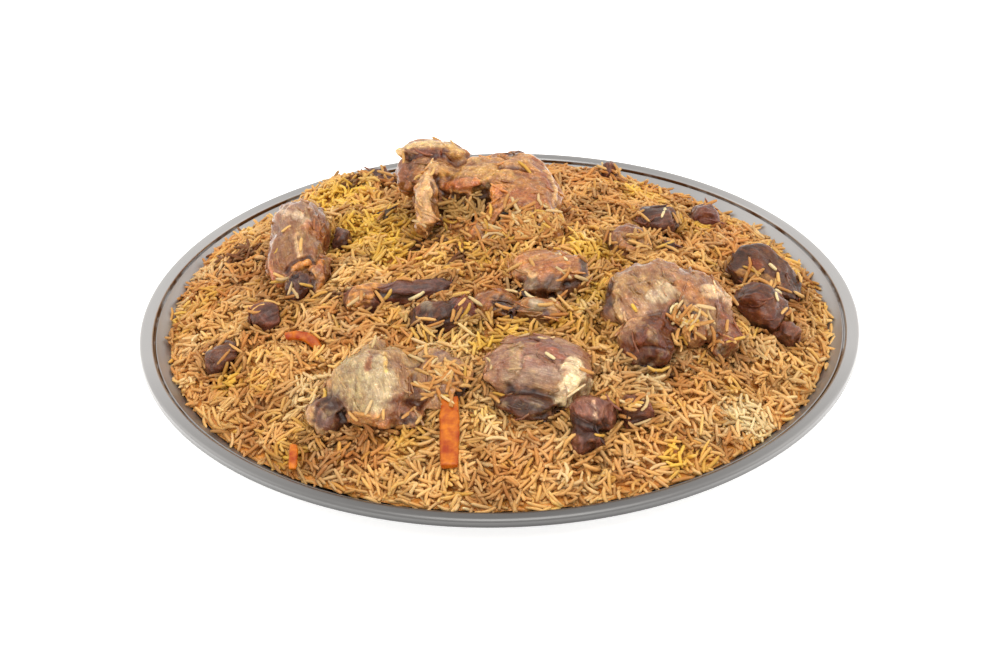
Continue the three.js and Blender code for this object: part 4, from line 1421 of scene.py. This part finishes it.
def rice_bank(meats):
    """How much higher the rice is heaped beside the meat, and how much it is darkened there by
    broth that it soaked up and by painted shade, over each cell of the map."""
    on_meat = height_map(surface(*[lump.piece for lump in meats])) > 0
    away = np.zeros(on_meat.shape)
    near = on_meat
    for _ in range(int(BANK_WIDTH / CELL)):
        away += ~near
        near = near | np.roll(near, 1, 0) | np.roll(near, -1, 0)
        near = near | np.roll(near, 1, 1) | np.roll(near, -1, 1)
    line = np.arange(MAP_ROWS) * CELL - MAP_REACH
    plan = np.stack([*np.meshgrid(line, line), np.zeros(on_meat.shape)], -1).reshape(-1, 3)
    height = BANK_HEIGHT * (0.5 + 0.9 * noise(plan, 16.0, 91)).reshape(on_meat.shape)
    # Darkening beside the meat: broth soaked into the rice, and painted shade where they meet.
    soaked = 1 - ease(away * CELL, 0.5, SOAK_AND_SHADE_WIDTH)
    return np.clip(height, 0, None) * (1 - ease(away * CELL, 0.0, 0.95 * BANK_WIDTH)) * (away > 0), soaked


def scatter_rice(bed, tray, meats, carrots):
    """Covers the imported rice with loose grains, laid round and partly over the meat."""
    grains = Grains(7)
    ground = surface(bed, tray)
    meat = surface(*[lump.piece for lump in meats + carrots])
    top = height_map(ground)
    count = np.arange(GRAIN_COUNT)
    # A spiral with a golden angle spreads the grains evenly, and a shuffle mixes the layers.
    radius = GRAIN_REACH * np.sqrt((count + 0.5) / GRAIN_COUNT)
    turn = count * math.pi * (3 - math.sqrt(5))
    spots = np.stack([radius * np.cos(turn), radius * np.sin(turn), np.zeros(GRAIN_COUNT)], 1)
    spots += grains.draw.normal(0, 1.6, spots.shape) * (1, 1, 0)
    bank, soaked = rice_bank(meats)
    rows, columns = np.nonzero(bank > 0.5)
    more = grains.draw.choice(len(rows), BANK_COUNT)
    beside = np.stack([columns[more], rows[more]], 1) * CELL - MAP_REACH
    spots = np.concatenate([spots, np.insert(beside, 2, 0.0, axis=1)])
    spots = grains.draw.permutation(spots)
    colours = rice_colours(grains, ground, spots)
    # Rice beside the meat is darkened and reddened: soaked broth and painted shade.
    broth_and_shade = 1 - SOAK_AND_SHADE_DEPTH * soaked[cells(spots[:, 0], spots[:, 1])][:, None]
    colours *= broth_and_shade ** np.array((1.0, 1.3, 1.6, 0.0))

    above, below = height_map(meat), height_map(meat, -10.0)
    kept = [lump.piece for lump in meats + carrots if lump.node in CLEAR_PIECES or "lean" in lump.node]
    clear = height_map(surface(*kept)) > 0
    for _ in range(int(CLEAR_EDGE / CELL)):
        clear = clear & np.roll(clear, 1, 0) & np.roll(clear, -1, 0)
        clear = clear & np.roll(clear, 1, 1) & np.roll(clear, -1, 1)
    above[clear] = 2 * MOST_HEIGHT
    shares = np.linspace(-1.0, 1.0, 7)[:, None]

    def in_meat(centre, half):
        x, y, z = (centre + half * shares).T
        at = cells(x, y)
        return np.any((above[at] > 0) & (z < above[at] + 0.6) & (z > below[at] - 0.6))

    limits = heap_height(spots[:, 0], spots[:, 1]) + GRAIN_PROUD + unevenness(spots)
    limits += bank[cells(spots[:, 0], spots[:, 1])]
    limits += 0.9 * noise(spots, 5.0, 82)
    for _, pixel, radius, depth in DIPS:
        away = np.linalg.norm(spots[:, :2] - on_heap(ground, pixel)[0][:2], axis=1)
        limits -= depth * (1 - ease(away, 0.4 * radius, 1.3 * radius))
    limits = np.where(np.hypot(spots[:, 0], spots[:, 1]) > 186, limits - 1.0, limits)
    # Neighbouring grains lie much the same way.
    lays = 2 * math.pi * noise(spots, 24.0, 81)
    for (x, y, _), colour, limit, lay in zip(spots, colours, limits, lays):
        if math.hypot(x, y) < GRAIN_REACH + 1:
            grains.drop(top, x, y, colour, limit, lay, in_meat)
    filled = zip(spots[:BROKEN_COUNT], colours, limits - BROKEN_DROP, lays)
    for (x, y, _), colour, limit, lay in filled:
        if math.hypot(x, y) < GRAIN_REACH - 1:
            grains.drop(top, x, y, colour, limit, lay, in_meat, broken=True)
    return grains, top


def rice_colours(grains, ground, spots):
    """The colour of the grain at each place, in clusters a few grains wide."""
    shares = []
    for patches in (SAFFRON_PATCHES, CREAM_PATCHES, BROWNED_AND_SHADED_PATCHES, SHRED_PATCHES):
        seen = [on_heap(ground, pixel) for _, pixel, _, _ in patches]
        shares.append(patch_strength(patches, seen, spots))
    saffron, cream, browned, shreds = shares
    draw = grains.draw
    count = len(spots)
    # Browned grains, and painted shade where the patches at the back and in the middle darken the heap.
    browned = 0.36 + 0.5 * browned + 0.45 * noise(spots, 17.0, 72) + 0.2 * noise(spots, 4.0, 77) + draw.normal(0, 0.1, count)
    cream = 0.9 * cream + 0.32 * noise(spots, 11.0, 74) + 0.3 * noise(spots, 3.5, 78) + draw.normal(0, 0.1, count)
    saffron = 1.2 * saffron + 0.45 * noise(spots, 9.0, 71) + 0.35 * noise(spots, 3.5, 79) + draw.normal(0, 0.12, count) - 0.2
    colours = mixed(np.tile(linear(PEACH_RICE), (count, 1)), BROWNED_RICE, browned)
    colours = mixed(mixed(colours, CREAM_RICE, cream), SAFFRON_RICE, saffron)
    colours = mixed(colours, SHREDDED_MEAT, np.where(draw.random(count) < shreds, 0.95, 0.0))
    # Painted light and shade in patches laid at random lighten and darken the heap, and where it is darker it is
    # also redder.
    light = 1 + 0.05 * draw.normal(0, 1, count) + 0.3 * noise(spots, 13.0, 75) + 0.24 * noise(spots, 6.0, 76)
    return colours * np.clip(light, 0.4, 1.12)[:, None] ** np.array((1.0, 1.3, 1.6, 0.0))


def mixed(colours, code, share):
    """Colours with a share of another in each."""
    share = np.clip(share, 0, 0.95)[:, None]
    return colours * (1 - share) + np.array(linear(code)) * share


# Grains that lie in clusters: where, the photo pixel, the radius, how many, in how many layers,
# and their colour where they have one.
STREWN = (
    ("foot of the pillar", (431, 237), 6, 40, 2, None),
    ("left of the pillar", (404, 214), 9, 60, 4, None),
    ("left foot of the pillar", (412, 234), 9, 40, 3, None),
    ("upper skirt of the joint", (520, 225), 16, 70, 2, None),
    ("skirt of the joint", (540, 236), 16, 70, 2, None),
    ("left of the skirt", (500, 240), 16, 60, 2, None),
    ("foot of the joint", (480, 250), 16, 60, 1, None),
    ("under the pillar", (440, 238), 10, 40, 3, "#D8AC50"),
    # The darker grains in the hollow are painted shade.
    ("hollow of the joint", (456, 212), 8, 40, 4, "#AA8248"),
    ("upper hollow of the joint", (474, 202), 8, 30, 4, "#B48E58"),
    ("lower hollow of the joint", (464, 222), 7, 30, 3, None),
    ("right foot of the joint", (556, 222), 12, 40, 2, None),
    ("below the strip", (385, 305), 9, 18, 1, None),
    ("below the strip's face", (410, 304), 8, 14, 1, None),
    ("shreds of the neck piece", (440, 372), 12, 26, 1, None),
    ("back of the neck piece", (424, 352), 8, 8, 1, None),
    ("foot of the shreds", (440, 396), 10, 20, 1, None),
    ("right side of the shreds", (466, 380), 8, 12, 1, None),
    ("left edge of the neck piece", (322, 372), 8, 14, 1, None),
    ("foot of the neck piece", (360, 424), 9, 16, 1, None),
    ("left of the leg piece", (490, 385), 9, 16, 1, None),
    ("right of the leg piece", (612, 372), 12, 34, 1, None),
    ("over the front bit", (630, 406), 8, 10, 1, None),
    ("front of the right piece", (692, 345), 14, 90, 4, None),
    ("arch of the right piece", (686, 330), 9, 40, 3, None),
    ("lower front of the right piece", (700, 368), 14, 60, 2, None),
    ("recess of the right piece", (676, 316), 4, 3, 1, "#D0B080"),
    ("between the blocks", (760, 282), 9, 12, 1, None),
    ("rib piece's left side", (262, 262), 8, 10, 1, None),
    ("marrow ring", (636, 238), 6, 10, 1, None),
    ("pale clump", (746, 428), 11, 40, 2, "#E8CE9C"),
    ("top of the pale clump", (738, 412), 7, 16, 2, "#E8CE9C"),
)
# Single grains that stand out on the meat, from end to end in photo pixels: browned, saffron
# or undyed.
SINGLES = (
    ((558, 254), (567, 262), 2), ((408, 300), (425, 291), 2), ((444, 297), (456, 317), 2),
    ((282, 233), (292, 226), 0), ((545, 353), (556, 360), 2), ((458, 306), (466, 298), 0),
    ((523, 290), (536, 299), 2), ((430, 176), (434, 168), 0), ((768, 264), (776, 271), 2),
    ((777, 272), (779, 286), 0), ((772, 288), (784, 297), 2), ((774, 292), (777, 302), 2),
    ((730, 290), (748, 285), 0), ((658, 208), (668, 206), 0), ((662, 218), (666, 208), 2),
    ((683, 208), (686, 222), 0), ((632, 238), (646, 236), 1), ((301, 238), (300, 252), 0),
    ((632, 304), (637, 312), 1), ((676, 302), (668, 312), 2), ((672, 318), (680, 316), 2),
)


# Torn fibres of meat: their lengths and their width.
SHORTEST_SHRED, LONGEST_SHRED = 5.0, 15.0
SHRED_THICKNESS = 1.5


def tear(shreds, lump, density):
    """Torn fibres that lie along the grain of a piece, in its own colours."""
    area = len(lump.points) * (Lump.VOXEL / 10) ** 2
    picked = shreds.draw.integers(0, len(lump.points), int(area * density))
    for number in picked:
        normal = lump.normals[number]
        if normal[2] < -0.3:
            continue
        axis = lump.axes[0] + shreds.draw.normal(0, 0.3, 3)
        axis -= normal * (axis @ normal)
        axis /= np.linalg.norm(axis)
        colour = lump.pigment[number] * shreds.draw.uniform(0.75, 1.4)
        length = shreds.draw.uniform(SHORTEST_SHRED, LONGEST_SHRED)
        centre = lump.points[number] + normal * shreds.draw.uniform(-0.4, 0.3)
        shreds.keep(centre, axis, shreds.draw.normal(0, 0.8), length, colour)


def strew(grains, meat, platter, top):
    """Lays grains on the meat: along its edges, in the named clusters and one by one."""
    covered = height_map(meat)
    on_meat = covered > top + 0.5
    depth = np.zeros(covered.shape)
    inside = on_meat.copy()
    for _ in range(20):
        depth += inside
        inside = inside[:] & np.roll(inside, 1, 0) & np.roll(inside, -1, 0)
        inside = inside & np.roll(inside, 1, 1) & np.roll(inside, -1, 1)
    both = np.maximum(top, covered)
    rows, columns = np.nonzero(on_meat)
    picked = grains.draw.permutation(len(rows))[:9000]
    for row, column in zip(rows[picked], columns[picked]):
        x, y = column * CELL - MAP_REACH, row * CELL - MAP_REACH
        deep = depth[row, column] * CELL
        if grains.draw.random() < (0.11 if deep < 2.5 else 0.012 if deep < 6.0 else 0.001):
            lay = grains.draw.uniform(0, math.pi)
            grains.drop(both, x, y, any_rice(grains), MOST_HEIGHT, lay, steepest=0.7)
    for _, pixel, radius, many, layers, code in STREWN:
        spot, _ = on_heap(platter, pixel)
        for _ in range(many):
            aim = Vector(spot + grains.draw.normal(0, radius * 0.5, 3))
            near, normal, _, _ = platter.find_nearest(aim)
            colour = np.array(linear(code)) if code else any_rice(grains)
            lay_on_meat(grains, np.array(near), np.array(normal), layers, colour)
    for start, end, kind in SINGLES:
        ends = [on_heap(platter, pixel) for pixel in (start, end)]
        colour = linear((PEACH_RICE, SAFFRON_RICE, CREAM_RICE)[kind])
        grains.between(ends[0][0], ends[1][0], ends[0][1], colour)


def any_rice(grains):
    """The colour of a grain picked at random."""
    kind, share, light = grains.draw.random(3)
    colour = mixed(np.array([linear(PEACH_RICE)]), BROWNED_RICE, np.array([share]))
    if kind < 0.2:
        colour = mixed(colour, SAFFRON_RICE if kind < 0.08 else CREAM_RICE, np.array([0.6]))
    return colour[0] * (0.75 + 0.25 * light)


def lay_on_meat(grains, spot, normal, layers, colour):
    """One grain flat on the meat or on other grains at a spot, turned at random."""
    if normal[2] < 0.15:
        return
    any_way = grains.draw.normal(0, 1, 3)
    axis = any_way - normal * (any_way @ normal)
    axis /= np.linalg.norm(axis)
    length = grains.draw.uniform(SHORTEST_GRAIN, LONGEST_GRAIN)
    centre = spot + normal * GRAIN_THICKNESS * grains.draw.uniform(0.25, 0.6 * layers)
    grains.keep(centre, axis, grains.draw.normal(0, 0.6), length, colour)


def studio():
    """Pale floor, a soft light over the camera and a weaker one on either side."""
    bpy.ops.object.select_all(action="DESELECT")
    bpy.ops.mesh.primitive_plane_add(size=8.0)
    floor = bpy.context.object
    floor.name = "studio_floor"
    # A light table: white acrylic, lit from below so that shadows on it stay pale.
    material, tree = new_material("white_acrylic_lit_from_below")
    shader = add_node(
        tree,
        "ShaderNodeBsdfPrincipled",
        inputs={
            "Base Color": linear("#FCFCFB"),
            "Roughness": 0.9,
            "Emission Color": linear("#FFFFFF"),
            "Emission Strength": 0.65,
        },
    )
    finish_material(tree, shader)
    floor.data.materials.append(material)
    # Each light: its place and aim in metres, its size, its power and its colour.
    lights = (
        ("front_softbox", (0.1, -0.72, 1.35), (0, 0, 0.03), 1.2, 10.5, "#FFFDF8"),
        ("left_softbox", (-1.5, 0.1, 0.9), (0, 0, 0.03), 1.1, 1.8, "#FFFCF6"),
        ("right_softbox", (1.5, 0.1, 0.9), (0, 0, 0.03), 1.1, 2.0, "#FFFCF6"),
    )
    for name, place_at, aim, size, power, colour in lights:
        light = bpy.data.lights.new(name, "AREA")
        light.shape = "SQUARE"
        light.size = size
        light.energy = power
        light.color = linear(colour)[:3]
        lamp = bpy.data.objects.new(name, light)
        bpy.context.scene.collection.objects.link(lamp)
        lamp.location = place_at
        lamp.rotation_euler = (Vector(aim) - Vector(place_at)).to_track_quat("-Z", "Y").to_euler()
    world = bpy.data.worlds.new("studio_air")
    bpy.context.scene.world = world
    world.use_nodes = True
    world.node_tree.nodes["Background"].inputs["Color"].default_value = linear("#FFFBF6")
    world.node_tree.nodes["Background"].inputs["Strength"].default_value = 1.12
    bpy.context.scene.view_settings.view_transform = "Standard"


def photo_camera():
    """The camera of the photograph."""
    data = bpy.data.cameras.new("photo_camera")
    data.sensor_width = SENSOR_WIDTH
    data.lens = FOCAL_PIXELS / PHOTO_WIDTH * SENSOR_WIDTH
    data.clip_start, data.clip_end = 0.05, 50.0
    camera = bpy.data.objects.new("photo_camera", data)
    bpy.context.scene.collection.objects.link(camera)
    turn = Matrix((CAMERA_RIGHT, CAMERA_UP, -CAMERA_FORWARD)).transposed()
    camera.matrix_world = Matrix.Translation(CAMERA_PLACE * MM) @ turn.to_4x4()
    bpy.context.scene.camera = camera


photo_camera()
studio()
tray = serving_tray()
bed = rice_bed()
fat_finish = braised_meat("braised_lamb_fat", 0.34, 0.45, 0.6, 0.65)
lean_finish = braised_meat("braised_lamb_lean", 0.38, 0.55, 0.4, 0.5)
meats = fatty_meat(fat_finish) + leaner_meat(lean_finish)
batons = carrots(boiled_carrot())
lumps = meats + batons
grains, top = scatter_rice(bed, tray, meats, batons)
platter = surface(bed, tray, *[lump.piece for lump in lumps])
strew(grains, surface(*[lump.piece for lump in meats]), platter, top)
grain_meshes(grains, "loose_rice", cooked_rice(), "rice", GRAIN_THICKNESS, CREAM_RICE)
fatty_shreds, lean_shreds = Grains(21), Grains(22)
for lump in meats:
    if lump.node in [row[0] for row in FATTY]:
        tear(fatty_shreds, lump, 0.5)
    else:
        tear(lean_shreds, lump, 0.3)
grain_meshes(fatty_shreds, "torn_fatty_fibres", fat_finish, "fat_meat", SHRED_THICKNESS, PALE_GOLD)
grain_meshes(lean_shreds, "torn_lean_fibres", lean_finish, "lean_meat", SHRED_THICKNESS, RUST)
